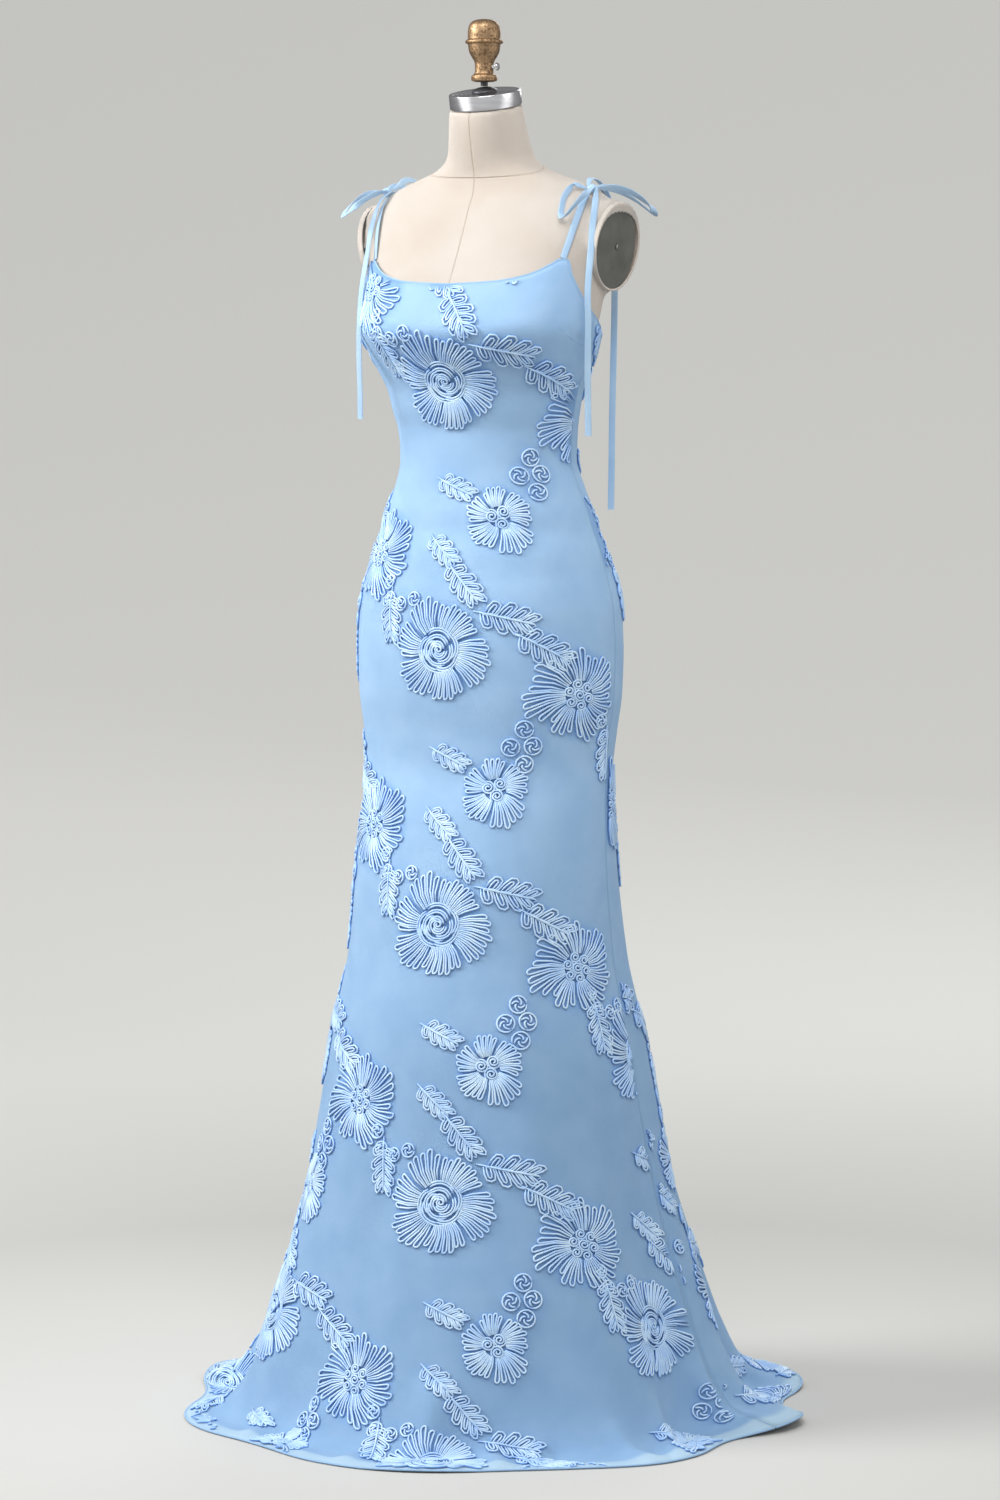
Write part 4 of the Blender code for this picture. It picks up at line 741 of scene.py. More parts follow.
cords = {
    "radius": 0.00132,
    "sunk": 0.30,            # share of the radius below the cloth's face
    "edge": 0.0034,          # cords end this far from a cut edge
    "repeatWidth": 0.268, "repeatHeight": 0.3155, "repeatDrop": 0.158,
    "stepsAcross": range(-5, 6), "stepsDown": range(-3, 7), "pastTop": 0.03, "pastHem": 0.04,
    "swing": 0.050, "swingFrom": 0.46, "swingAt": 1.09,     # the grain swings where the skirt flares
    "repeat": [  # kind, across, down, radius, turn
        ("rose", 0.000, 0.000, 0.061, 8), ("daisy", 0.163, 0.050, 0.0575, 20),
        ("blossom", 0.060, 0.160, 0.041, 35), ("curls", 0.096, 0.110, 0.026, 0),
        ("leaf", -0.004, -0.116, 0.022, 42), ("leaf", 0.026, -0.078, 0.027, 50),
        ("leaf", 0.080, -0.038, 0.031, 12), ("leaf", 0.124, -0.004, 0.031, 28),
        ("leaf", 0.004, 0.124, 0.022, 25), ("leaf", 0.197, 0.121, 0.027, 84),
        ("chain", -0.054, -0.055, 0.018, 0),
    ],
    # how each flower is laid: inner share of the radius, sway, how far the side loops fall short,
    # and for each petal its middle and span in degrees, its reach and its loops; in its heart a rose has
    # rings of arcs (size, count, lap), the others curls (count, place, size, turns, first, start, height)
    "rose": {"inner": 0.41, "sway": 6, "short": 0.10, "heart": [(1.00, 5, 1.25), (0.72, 4, 1.30), (0.44, 3, 1.20)],
             "petals": [
        (3, 64, 1.03, 8), (67, 54, 0.93, 7), (126, 53, 1.01, 6), (180, 47, 0.95, 5), (231, 46, 1.01, 5),
        (292, 66, 0.90, 8)]},
    "daisy": {"inner": 0.30, "sway": -8, "short": 0.22, "curls": (6, 0.74, 0.40, 2.0, 0.0, 2.0, 0.0020), "petals": [
        (8, 47, 0.90, 4), (57, 44, 0.99, 4), (104, 43, 0.88, 4), (155, 51, 1.09, 5), (205, 41, 1.01, 3),
        (252, 46, 0.92, 4), (310, 62, 0.96, 5)]},
    "blossom": {"inner": 0.32, "sway": 5, "short": 0.14, "curls": (3, 0.64, 0.62, 2.3, -1.5, 1.0, 0.0022), "petals": [
        (20, 67, 1.13, 6), (92, 65, 0.98, 6), (160, 57, 0.92, 5), (222, 53, 0.90, 5), (298, 83, 0.92, 7)]},
    # one loop of a petal: how far out and how far to the side each point lies
    "petalLoop": {"out": [0.0, 0.42, 0.90, 0.98, 1.0, 0.98, 0.90, 0.42, 0.0],
                  "side": [-0.50, -0.56, -0.64, -0.42, 0.0, 0.42, 0.64, 0.56, 0.50]},
    # one loop of a leaf in the same way, with its height; wide and narrow loops; the midrib in radii
    "leaf": {"loops": 4, "out": [0.02, 0.50, 0.88, 1.0, 0.88, 0.50, 0.02],
             "side": [-1.0, -1.08, -0.85, 0.0, 0.85, 1.08, 1.0],
             "rise": [0.0004, 0.0013, 0.0008, 0.0004, 0.0006, 0.0011, 0.0005],
             "widths": [(0.40, 1.0), (0.16, 0.76)], "slim": 1.8,
             "rib": [(-1.25, 0, 0.0004), (-0.6, 0, 0.0016), (0, 0, 0.0018), (0.6, 0, 0.0016),
                     (1.05, 0, 0.0006), (1.14, 0.0018, 0.0003), (1.02, 0.0036, 0.0003)]},
    # places of the small curls, in radii, and the size of one
    "curls": {"places": [(-0.10, -0.80), (-0.66, 0.02), (0.30, -0.04), (-0.04, 0.78)], "size": 0.385},
    "chain": {"places": [(1.0, -0.15), (-0.05, 0.2), (-1.1, -0.1), (-1.5, -1.15)], "size": 0.43},
    # reach and depth of the shade on the cloth, and where it starts to fade and over how much
    "shade": {"curls": (1.1, 0.30), "chain": (0.90, 0.30), "others": (0.90, 1.0), "fade": (1.08, 0.22)},
}


def polar(radius, angle, rise, centre=(0.0, 0.0)):
    # points round a centre on the cloth, and how far they stand off it
    return np.stack([centre[0] + radius * np.cos(angle), centre[1] + radius * np.sin(angle), rise + 0 * angle], -1)


def spiral(centre, outer, turns, start, low, high):
    part = np.linspace(0, 1, max(8, round(turns * 10)))
    angle = start + math.tau * turns * part
    inner = 0.0011
    radius = inner + (outer - inner) * (1 - part) * (1 + 0.07 * np.sin(2.3 * angle))
    return polar(radius, angle, low + (high - low) * part, centre)


def pinwheel(centre, size, turn):
    # a ring of cord with hooks curling in to its middle
    made = [polar(size, np.linspace(0, math.tau, 15) + turn, 0.0006, centre)]
    part = np.linspace(0, 1, 6)
    for hook in range(4):
        angle = turn + math.tau * hook / 4 + 1.9 * part ** 1.3
        made.append(polar(size * (0.80 - 0.60 * part), angle, 0.0008 + 0.0010 * part, centre))
    return made


def roseHeart(core):
    # folded petals seen from above: pairs of arcs that overlap, round a curl
    made = []
    part = np.linspace(0, 1, 8)
    for ring, (share, count, lap) in enumerate(cords["rose"]["heart"]):
        for number in range(count):
            start = number + 0.42 * ring + 0.22 * math.sin(2.3 * number + 1.1 * ring)
            angle = math.tau * (start + lap * part) / count
            for line in range(2):
                radius = core * (share * (1 + 0.08 * np.sin(math.pi * part)) - 0.14 * part) - 0.0028 * line
                made.append(polar(radius, angle, 0.0008 + 0.0005 * ring + 0.0007 * part + 0.0002 * line))
    made.append(spiral((0.03 * core, -0.04 * core), core * 0.23, 1.6, 0.4, 0.0020, 0.0032))
    return made


def ringOfCurls(core, count, far, size, turns, first, start, high):
    made = []
    for number in range(count):
        angle = math.tau * number / count + first
        centre = (core * far * math.cos(angle), core * far * math.sin(angle))
        made.append(spiral(centre, core * size, turns, angle + start, 0.0008, high))
    return made


def petal(laid, radius, number):
    # one cord laid out and back in round-ended loops, longest at the petal's middle
    middle, span, reach, loops = laid["petals"][number]
    steps, sides = (np.array(cords["petalLoop"][key]) for key in ("out", "side"))
    inner = radius * laid["inner"]
    sway = laid["sway"] * (1 + 0.35 * math.sin(2.1 * number))
    points = []
    for loop in range(loops):
        place = (loop + 0.5) / loops - 0.5
        uneven = 0.035 * math.sin(2.6 * loop + 1.7 * number)
        far = radius * reach * (1 - laid["short"] * (2 * place) ** 2 + uneven)
        out = inner + (far - inner) * steps
        angle = np.radians(middle + span * (place + sides / (2 * loops)) + sway * steps ** 2)
        cup = 0.0010 * np.sin(math.pi * np.clip(steps + 0.08, 0, 1)) * (1 - 1.2 * abs(place))
        rise = 0.0003 + 0.0007 * (number % 2) * (1 - 0.5 * steps) + cup + 0.0002 * (sides > 0)
        points.append(polar(out, angle, rise))
    return np.concatenate(points)


def leafSide(length, side):
    # broad loops with a narrow one in each, leaning forward off one side of the midrib
    loops = cords["leaf"]["loops"]
    pitch = 2 * length / (loops + 0.4)
    steps, apart, rise = (np.array(cords["leaf"][key]) for key in ("out", "side", "rise"))
    points = []
    for number in range(loops):
        base = -length + pitch * (number + (0.45 if side > 0 else 0.80))
        reach = length * (0.30 + 0.42 * math.sin(math.pi * (number + 1.0) / (loops + 1.3)))
        lean = math.radians(64 - 9 * number)
        for wide, far in cords["leaf"]["widths"]:
            out = reach * far * steps
            along = pitch * wide * apart
            points.append(np.stack([base + along + out * math.cos(lean),
                                    side * (0.0010 + out * math.sin(lean) - 0.3 * along * steps), rise], -1))
    return np.concatenate(points)


def motifCords(kind, radius):
    if kind == "leaf":
        rib = np.array([(radius * along, aside, rise) for along, aside, rise in cords["leaf"]["rib"]])
        return [rib, leafSide(radius, 1), leafSide(radius, -1)]
    laid = cords[kind]
    if "places" in laid:
        made = []
        for number, (x, y) in enumerate(laid["places"]):
            made += pinwheel((x * radius, y * radius), radius * laid["size"], 0.9 * number)
        return made
    made = [petal(laid, radius, number) for number in range(len(laid["petals"]))]
    core = radius * laid["inner"]
    if kind == "rose":
        return made + roseHeart(core)
    if kind == "daisy":
        made.append(spiral((0, 0), core * 0.42, 2.0, 0.0, 0.0014, 0.0024))
    return made + ringOfCurls(core, *laid["curls"])


def degreesAt(clothAcross, down, startDegrees):
    # angle reached after this much cloth, counted from a panel's own middle line
    degrees, left = startDegrees, abs(clothAcross)
    step = math.copysign(2.0, clothAcross)
    while left > 0:
        cloth = 2.0 * float(clothPerDegree(degrees, down))
        part = min(1.0, left / cloth)
        degrees += step * part
        left = 0.0 if part < 1.0 else left - cloth
    return degrees


def placedMotifs(panel):
    # every motif that touches the panel: kind, radius, turn, angle, length down, cloth for a degree
    placed = []
    for stepAcross in cords["stepsAcross"]:
        for stepDown in cords["stepsDown"]:
            left = panel["repeat"][0] + stepAcross * cords["repeatWidth"]
            top = panel["repeat"][1] + stepDown * cords["repeatHeight"] - (stepAcross % 2) * cords["repeatDrop"]
            for kind, across, below, radius, turn in cords["repeat"]:
                down = top + below
                if not -cords["pastTop"] < down < hemDown + cords["pastHem"]:
                    continue
                level = min(max(down, 0.0), hemDown - 0.001)
                part = max(0.0, level - cords["swingFrom"]) / (cords["swingAt"] - cords["swingFrom"])
                centre = degreesAt(left + across + cords["swing"] * part ** 1.6, level, panel["middle"])
                cloth = float(clothPerDegree(centre, level))
                if panel["from"] - radius / cloth < centre < panel["to"] + radius / cloth:
                    placed.append((kind, radius, turn, centre, down, cloth))
    return placed


def underFlowers(panel, degrees, down):
    # painted shade on the cloth: 1 where cords cover it, fading to 0 round each motif
    shade, total = cords["shade"], np.zeros(len(degrees))
    full, fade = shade["fade"]
    for kind, radius, turn, centre, level, cloth in placedMotifs(panel):
        x, y = (degrees - centre) * cloth, down - level
        if kind == "leaf":
            cosine, sine = math.cos(math.radians(turn)), math.sin(math.radians(turn))
            x, y = x * cosine + y * sine, (y * cosine - x * sine) * cords["leaf"]["slim"]
        reach, deep = shade.get(kind, shade["others"])
        away = np.hypot(x, y) / (radius * reach)
        total = np.maximum(total, deep * np.clip((full - away) / fade, 0.0, 1.0))
    return total


def cordsOn(panel):
    # every run of cord on a panel: its points in space, the way out at each, and how far down it lies
    across, below, rise, starts = [], [], [], [0]
    for kind, radius, turn, centre, down, cloth in placedMotifs(panel):
        spin = math.radians(turn)
        for stroke in motifCords(kind, radius):
            x = stroke[:, 0] * math.cos(spin) - stroke[:, 1] * math.sin(spin)
            y = stroke[:, 0] * math.sin(spin) + stroke[:, 1] * math.cos(spin)
            across.append(centre + x / cloth)
            below.append(down + y)
            rise.append(stroke[:, 2])
            starts.append(starts[-1] + len(stroke))
    degrees, level, rise = (np.concatenate(part) for part in (across, below, rise))
    margin = cords["edge"] / clothPerDegree(degrees, np.clip(level, 0.0, hemDown))
    clear = (degrees > panel["from"] + margin) & (degrees < panel["to"] - margin)
    clear &= (level > topDown(degrees) + cords["edge"]) & (level < hemDown - cords["edge"])
    above = cords["radius"] * (1 - cords["sunk"])
    points, outs = clothPlace(degrees, np.clip(level, 0.0, hemDown), rise + above)
    runs = []
    for low, high in zip(starts, starts[1:]):
        whole = np.arange(low, high)
        breaks = np.flatnonzero(np.diff(clear[whole].astype(int))) + 1
        for run in np.split(whole, breaks):
            if clear[run[0]] and len(run) > 2:
                runs.append((points[run], outs[run], float(level[run].mean())))
    return runs


def tubesAlong(name, paths, radius, taper=1.0):
    # round tubes along lists of points, with open ends: the points' own order is kept
    curve = bpy.data.curves.new(name, "CURVE")
    curve.dimensions = "3D"
    curve.bevel_depth = radius
    curve.bevel_resolution = 1
    for points in paths:
        spline = curve.splines.new("POLY")
        spline.points.add(len(points) - 1)
        spline.points.foreach_set("co", np.column_stack([points, np.ones(len(points))]).ravel())
        size = np.ones(len(points))
        size[0] = size[-1] = taper
        spline.points.foreach_set("radius", size)
    holder = bpy.data.objects.new(name + "Path", curve)
    bpy.context.scene.collection.objects.link(holder)
    mesh = bpy.data.meshes.new_from_object(holder.evaluated_get(bpy.context.evaluated_depsgraph_get()))
    bpy.data.objects.remove(holder)
    return mesh


def closeEnds(name, mesh, material, slot):
    work = bmesh.new()
    work.from_mesh(mesh)
    bmesh.ops.holes_fill(work, edges=[edge for edge in work.edges if edge.is_boundary])
    bmesh.ops.recalc_face_normals(work, faces=work.faces)
    finishPiece(name, work, material, slot, smooth=0)


def makeCordPiece(name, runs, satin):
    mesh = tubesAlong(name, [points for points, _, _ in runs], cords["radius"], 0.7)
    # how far round each cord a place is: 1 on its top, below 0 where it meets the cloth; from this the cord's colour
    # takes a painted highlight on top and painted shade down its sides
    places = np.empty(len(mesh.vertices) * 3)
    mesh.vertices.foreach_get("co", places)
    middles = np.concatenate([points for points, _, _ in runs])
    outs = np.concatenate([out for _, out, _ in runs])
    sides = len(mesh.vertices) // len(middles)
    away = places.reshape(-1, 3) - np.repeat(middles, sides, axis=0)
    paintedShadeCrown = (away * np.repeat(outs, sides, axis=0)).sum(1) / cords["radius"]
    mesh.attributes.new("paintedShadeCrown", "FLOAT", "POINT").data.foreach_set("value", paintedShadeCrown)
    closeEnds(name, mesh, satin, "blue_crepe")
    print(name, "has", len(runs), "runs of cord")


def makeFlowers(satin):
    # each panel's flowers in bands down the skirt, so that no piece grows too large
    for title, panel in panels.items():
        runs = cordsOn(panel)
        for number, (low, high) in enumerate(zip(panel["bands"], panel["bands"][1:]), 1):
            chosen = [run for run in runs if low <= run[2] < high]
            makeCordPiece(f"{title}Flowers{number}", chosen, satin)


edging = {
    "seam": {"radius": 0.0009, "sunk": 0.75}, "dart": {"radius": 0.0007, "sunk": 0.55},
    "hem": {"radius": 0.0013, "sunk": 0.5}, "neck": {"radius": 0.0011, "sunk": 0.6},
    "offFloor": 0.0005,
    "seams": [("seamLeft", 90.0, 0.0), ("seamRight", -90.0, 0.0), ("seamBack", 180.0, 0.032)],     # turn, start
    "darts": {"from": 86.0, "over": 25.0, "height": 1.247, "rise": 0.021, "sag": 0.004},
}


def makeEdging(name, kind, degrees, down, cloth):
    # a narrow ridge along a seam, or the rolled edge of the cloth
    radius = edging[kind]["radius"]
    points = clothPlace(degrees, down, -radius * edging[kind]["sunk"])[0]
    points[:, 2] = np.maximum(points[:, 2], radius + edging["offFloor"])
    closeEnds(name, tubesAlong(name, [points], radius), cloth, "blue_crepe")


def makeEdges(cloth):
    for title, turn, start in edging["seams"]:
        down = np.linspace(float(topDown(turn)) + start, hemDown - 0.001, 260)
        makeEdging(title, "seam", np.full(260, turn), down, cloth)
    dart, part = edging["darts"], np.linspace(0.0, 1.0, 40)
    height = dart["height"] + dart["rise"] * part - dart["sag"] * np.sin(math.pi * part)
    for word, side in (("Left", 1), ("Right", -1)):
        makeEdging("dart" + word, "dart", side * (dart["from"] - dart["over"] * part), downTo(height), cloth)
    for title, panel in panels.items():
        across = np.linspace(0.0, 1.0, 240)
        degrees, top = panelPlaces(panel, across, 0 * across)
        makeEdging("neckRoll" + capital(title), "neck", degrees, top, cloth)
        makeEdging("hemRoll" + capital(title), "hem", degrees, 0 * across + hemDown, cloth)


ties = {
    "width": 0.0075, "thick": 0.0016, "pinch": 0.45, "pinchLength": 0.016,
    "knotRadius": 0.0068, "knotFlat": 0.80, "wraps": 13, "crossings": 15, "wrapDepth": 0.14,
    "rings": {"front": 28, "back": 42, "loop": 44}, "ringGap": 0.004,
    "lift": 0.0014, "bridge": 0.0018, "clear": 0.0015,
    "knotLift": 0.0006, "knotClear": 0.00045, "knotGap": 0.0002,
    "frontTurn": 53.5, "backTurn": 140.0,
    "middleY": 0.020, "middleZ": 1.350, "knotX": 0.131, "knotRound": 78.0,
    "loopClear": 0.0058,
    "flatFrom": 1.380, "flatFull": 0.035,       # above this height the tails turn flat on the shoulder
    "loops": [  # name, heading, droop, length, width, roll, arch
        ("loop_front_left", -21, 36, 0.057, 0.023, 0, 0.009),
        ("loop_back_left", 147, 19, 0.088, 0.020, 0, 0.012),
        ("loop_front_right", 34, 26, 0.064, 0.022, 0, 0.008),
        ("loop_back_right", -161, 3, 0.050, 0.017, 0, 0.009),
    ],
    "tails": [  # name, heading, broad side, over the shoulder, free hang
        ("tail_front_left", 70, 27,
         [(0.1430, 66, 0.0060), (0.1475, 50, 0.0050), (0.1492, 34, 0.0045), (0.1500, 16, 0.0045)],
         [(0.1505, -0.0400, 1.3100), (0.1515, -0.0410, 1.2700), (0.1505, -0.0400, 1.2300),
          (0.1500, -0.0385, 1.1900), (0.1505, -0.0380, 1.1440)]),
        ("tail_back_left", -112, 207,
         [(0.1215, 86, 0.0090), (0.1190, 103, 0.0090), (0.1185, 122, 0.0095), (0.1190, 142, 0.0100),
          (0.1195, 162, 0.0095)],
         [(0.1196, 0.0895, 1.3400), (0.1200, 0.0885, 1.2900), (0.1196, 0.0870, 1.2300),
          (0.1190, 0.0855, 1.1700), (0.1188, 0.0845, 1.1100), (0.1185, 0.0835, 1.0560)]),
        ("tail_front_right", -73, 10,
         [(0.1275, 62, 0.0085), (0.1310, 44, 0.0085), (0.1335, 26, 0.0080)],
         [(0.1325, -0.0500, 1.3520), (0.1270, -0.0730, 1.3100), (0.1195, -0.0915, 1.2700),
          (0.1185, -0.0940, 1.2350), (0.1185, -0.0920, 1.2000), (0.1185, -0.0910, 1.1620)]),
        ("tail_back_right", 112, 175,
         [(0.1400, 92, 0.0060), (0.1410, 108, 0.0060), (0.1400, 126, 0.0060), (0.1370, 146, 0.0060),
          (0.1340, 164, 0.0060)],
         [(0.1315, 0.0865, 1.3400), (0.1290, 0.0860, 1.2900), (0.1275, 0.0850, 1.2300),
          (0.1265, 0.0835, 1.1600), (0.1260, 0.0825, 1.0900)]),
    ],
}
arms = {
    "x": 0.1545, "y": 0.025, "height": 1.360, "half": (0.048, 0.051), "tilt": 8.0, "rim": 0.0025,
    "stub": 0.070, "stubMiddle": -0.0383,
    "edge": 0.0028, "edgeReach": 0.0022, "gather": 0.0085, "edgeWall": 0.0007,
    "edgeDepth": (-0.0045, 0.0017, 0.0007),     # at its start, over the plate's edge and at its end
    "ripples": 58, "ripple": 0.0011, "bends": 31, "bend": 0.0006,
}


formHeights = np.linspace(0.76, 1.5215, 3000)
formTable = [column(formHeights) for column in formAt]


def insideForm(point):
    halfWidth, halfDepth, centreY, power = (float(np.interp(point.z, formHeights, column)) for column in formTable)
    across = abs(point.x) / halfWidth
    along = abs(point.y - centreY) / halfDepth
    if across ** (2 / power) + along ** (2 / power) < 1.0:
        return True
    axisHeight = arms["height"] + (arms["x"] - abs(point.x)) * math.tan(math.radians(arms["tilt"]))
    halfY, halfZ = (half + arms["rim"] for half in arms["half"])
    return math.hypot((point.y - arms["y"]) / halfY, (point.z - axisHeight) / halfZ) < 1.0


def edgeOf(isLow, low, high, tries=24):
    for _ in range(tries):
        middle = (low + high) / 2
        if isLow(middle):
            low = middle
        else:
            high = middle
    return high


def shoulderPoint(across, degrees):
    angle = math.radians(degrees)
    way = Vector((0.0, -math.cos(angle), math.sin(angle)))
    middle = Vector((across, ties["middleY"], ties["middleZ"]))
    return middle + way * edgeOf(lambda reach: insideForm(middle + way * reach), 0.0, 0.16)


def shoulderNormal(across, degrees):
    sideways = shoulderPoint(across + 0.002, degrees) - shoulderPoint(across - 0.002, degrees)
    over = shoulderPoint(across, degrees + 2.0) - shoulderPoint(across, degrees - 2.0)
    return sideways.cross(over).normalized()


knot = (shoulderPoint(ties["knotX"], ties["knotRound"])
        + shoulderNormal(ties["knotX"], ties["knotRound"])
        * (ties["knotRadius"] * ties["knotFlat"] + ties["knotLift"]))


def heading(degrees, rise=0.0):
    turn, up = math.radians(degrees), math.radians(rise)
    return Vector((math.sin(turn) * math.cos(up), -math.cos(turn) * math.cos(up), math.sin(up)))


def knotSurface(way):
    radius, flat = ties["knotRadius"], ties["knotRadius"] * ties["knotFlat"]
    reach = 1 / math.sqrt((way.x ** 2 + way.y ** 2) / radius ** 2 + way.z ** 2 / flat ** 2)
    return knot + way * (reach + ties["knotClear"])


def splineThrough(points, spacing):
    # evenly spaced points on a smooth curve through the given ones
    given = np.array([tuple(point) for point in points])
    lengths = np.concatenate([[0], np.cumsum(np.linalg.norm(np.diff(given, axis=0), axis=1))])
    slopes = np.gradient(given, axis=0)
    slopes[1:-1] = (given[2:] - given[:-2]) / (lengths[2:] - lengths[:-2])[:, None]
    slopes[0] = (given[1] - given[0]) / (lengths[1] - lengths[0])
    slopes[-1] = (given[-1] - given[-2]) / (lengths[-1] - lengths[-2])
    count = max(3, round(lengths[-1] / spacing))
    places = np.linspace(0, lengths[-1], count + 1)
    row = np.clip(np.searchsorted(lengths, places) - 1, 0, len(lengths) - 2)
    step = (lengths[row + 1] - lengths[row])[:, None]
    part = (places - lengths[row])[:, None] / step
    curve = cubicBetween(part, given[row], given[row + 1] - given[row], slopes[row] * step, slopes[row + 1] * step)
    return [Vector(point) for point in curve]


def strapPath(place):
    atBack = place == "back"
    degrees = ties[place + "Turn"]
    low = float(topHeight(degrees)) + ties["clear"]
    startX = float(sectionPoint(degrees, low, *(column(low) for column in formAt))[0])
    around = (lambda turn: shoulderPoint(startX, turn).z > low)
    start = edgeOf(around, 90.0, 250.0 if atBack else -60.0)
    top = shoulderPoint(ties["knotX"], ties["knotRound"])
    reach = (top - Vector((ties["knotX"], ties["middleY"], ties["middleZ"]))).length
    short = math.degrees((ties["knotRadius"] + ties["knotGap"]) / reach)
    end = ties["knotRound"] + short if atBack else ties["knotRound"] - short
    path, faces = [], []
    for part in np.linspace(0, 1, ties["rings"][place]):
        across = startX + (ties["knotX"] - startX) * part ** 0.9
        turn = start + (end - start) * part
        out = shoulderNormal(across, turn)
        lift = ties["lift"] + ties["bridge"] * math.sin(math.pi * part)
        path.append(shoulderPoint(across, turn) + out * lift)
        faces.append(out)
    return path, faces


def loopPath(turn, droop, length, width, roll, arch):
    ahead = heading(turn, -droop)
    side = Matrix.Rotation(math.radians(roll), 3, ahead) @ heading(turn + 90)

    def place(phase):
        part = (1 - math.cos(phase)) / 2
        rise = Vector((0.0, 0.0, arch * 4 * part * (1 - part)))
        return knot + ahead * (length * part) + rise + side * (width / 2 * math.sin(phase))

    def isInKnot(phase):
        offset = place(phase) - knot
        return offset.length < (knotSurface(offset.normalized()) - knot).length

    low = edgeOf(isInKnot, 0.001, math.pi / 2)
    path = [place(phase) for phase in np.linspace(low, math.tau - low, ties["rings"]["loop"])]
    raised = [path[0]]
    for point in path[1:-1]:
        far = min(1.0, (point - knot).length / (1.4 * ties["pinchLength"]))
        need = ties["loopClear"] * far + ties["width"] / 2 * max(ties["pinch"], far)
        lift = edgeOf(lambda rise: insideForm(point + Vector((0, 0, rise - need))), 0.0, 0.03, 12)
        raised.append(point + Vector((0, 0, lift)))
    return raised + [path[-1]]


def loopFaces(path):
    middle = sum(path, Vector()) / len(path)
    last = len(path) - 1
    across = (path[last // 4] - middle).cross(path[3 * last // 4] - middle).normalized()
    return [(path[min(row + 1, last)] - path[max(row - 1, 0)]).cross(across).normalized()
            for row in range(len(path))]


def tailPath(turn, over, hang):
    route = [knotSurface(heading(turn, 8))]
    for across, degrees, lift in over:
        route.append(shoulderPoint(across, degrees) + shoulderNormal(across, degrees) * lift)
    return splineThrough(route + [Vector(point) for point in hang], ties["ringGap"])


def tailFaces(path, broadSide):
    faces = []
    for point in path:
        near = max(0.0, min(1.0, (point.z - ties["flatFrom"]) / ties["flatFull"]))
        faces.append(heading(broadSide).lerp(Vector((0.2, 0.0, 1.0)), near).normalized())
    return faces


def sideOf(name):
    return -1 if name.endswith("right") else 1


def makeTie(name, path, faces, cloth, pinchStart=False, pinchEnd=False):
    # a soft flat tube along the path, gathered into pleats where it enters the knot
    side = sideOf(name)
    pinches = [end for end, pinched in ((path[0], pinchStart), (path[-1], pinchEnd)) if pinched]
    along = [path[min(row + 1, len(path) - 1)] - path[max(row - 1, 0)] for row in range(len(path))]
    if pinchStart:
        along[0] = path[0] - knot
    if pinchEnd:
        along[-1] = knot - path[-1]
    rows = []
    for point, ahead, out in zip(path, along, faces):
        across = ahead.cross(out).normalized()
        spread = min([1.0] + [ties["pinch"] + (1 - ties["pinch"]) * (point - end).length / ties["pinchLength"]
                              for end in pinches])
        rows.append((*point, *across, *across.cross(ahead).normalized(), spread))
    rows = np.array(rows)
    places, acrosses, outs, spreads = rows[:, 0:3], rows[:, 3:6], rows[:, 6:9], rows[:, 9]

    def place(around, down):
        row = np.rint(down * (len(rows) - 1)).astype(int)
        angle = math.tau * around
        wide = signedPower(np.cos(angle), 0.8) * ties["width"] / 2 * spreads[row]
        pleat = 1 + 0.5 * (1 - spreads[row]) * np.cos(5 * angle)
        high = signedPower(np.sin(angle), 0.75) * ties["thick"] / 2 * pleat
        point = places[row] + acrosses[row] * wide[:, None] + outs[row] * high[:, None]
        return point * np.array([side, 1, 1])

    work, _ = gridWork(18, len(rows) - 1, place, wraps=True, closed=True)
    return finishPiece(name.replace("_", " ").title().replace(" ", "") + "Tie", work, cloth, "blue_tie",
                       replaced=[name], smooth=60)


def makeKnot(word, cloth):
    # a ball of wrapped cloth: the wraps are soft ridges round it
    work = bmesh.new()
    bmesh.ops.create_icosphere(work, subdivisions=4, radius=1.0)
    for vert in work.verts:
        way = vert.co.normalized()
        wrap = 0.5 + 0.5 * math.cos(ties["wraps"] * way.y + 3 * way.x)
        cross = 0.5 + 0.5 * math.cos(ties["crossings"] * (way.x * 0.8 + way.z * 0.6))
        band = max(0.0, 1 - abs(way.x) / 0.55)
        size = 1 - ties["wrapDepth"] * (1 - 0.9 * (wrap * band + cross * (1 - band)))
        vert.co = knot + Vector((way.x * ties["knotRadius"], way.y * ties["knotRadius"],
                                 way.z * ties["knotRadius"] * ties["knotFlat"])) * size
        vert.co.x *= sideOf(word)
    bmesh.ops.recalc_face_normals(work, faces=work.faces)
    finishPiece("knot" + word.title(), work, cloth, "blue_tie", replaced=["knot_" + word], smooth=0)


def makeTies(cloth):
    for word in ("left", "right"):
        makeKnot(word, cloth)
        for place in ("front", "back"):
            path, faces = strapPath(place)
            makeTie(f"strap_{place}_{word}", path, faces, cloth, pinchEnd=True)
    for name, *loop in ties["loops"]:
        path = loopPath(*loop)
        makeTie(name, path, loopFaces(path), cloth, pinchStart=True, pinchEnd=True)
    for name, turn, broadSide, over, hang in ties["tails"]:
        path = tailPath(turn, over, hang)
        piece = makeTie(name, path, tailFaces(path, broadSide), cloth, pinchStart=True)


def onNeck():
    lean = Matrix.Rotation(math.radians(bodyShape["neckTilt"]), 4, "X")
    return Matrix.Translation(bodyShape["neckTop"]) @ lean


def armMatrix(side, distance=0.0):
    lean = Matrix.Rotation(side * math.radians(90 + arms["tilt"]), 4, "Y")
    turn = Matrix.Translation((side * arms["x"], arms["y"], arms["height"])) @ lean
    return turn @ Matrix.Translation((0.0, 0.0, distance))


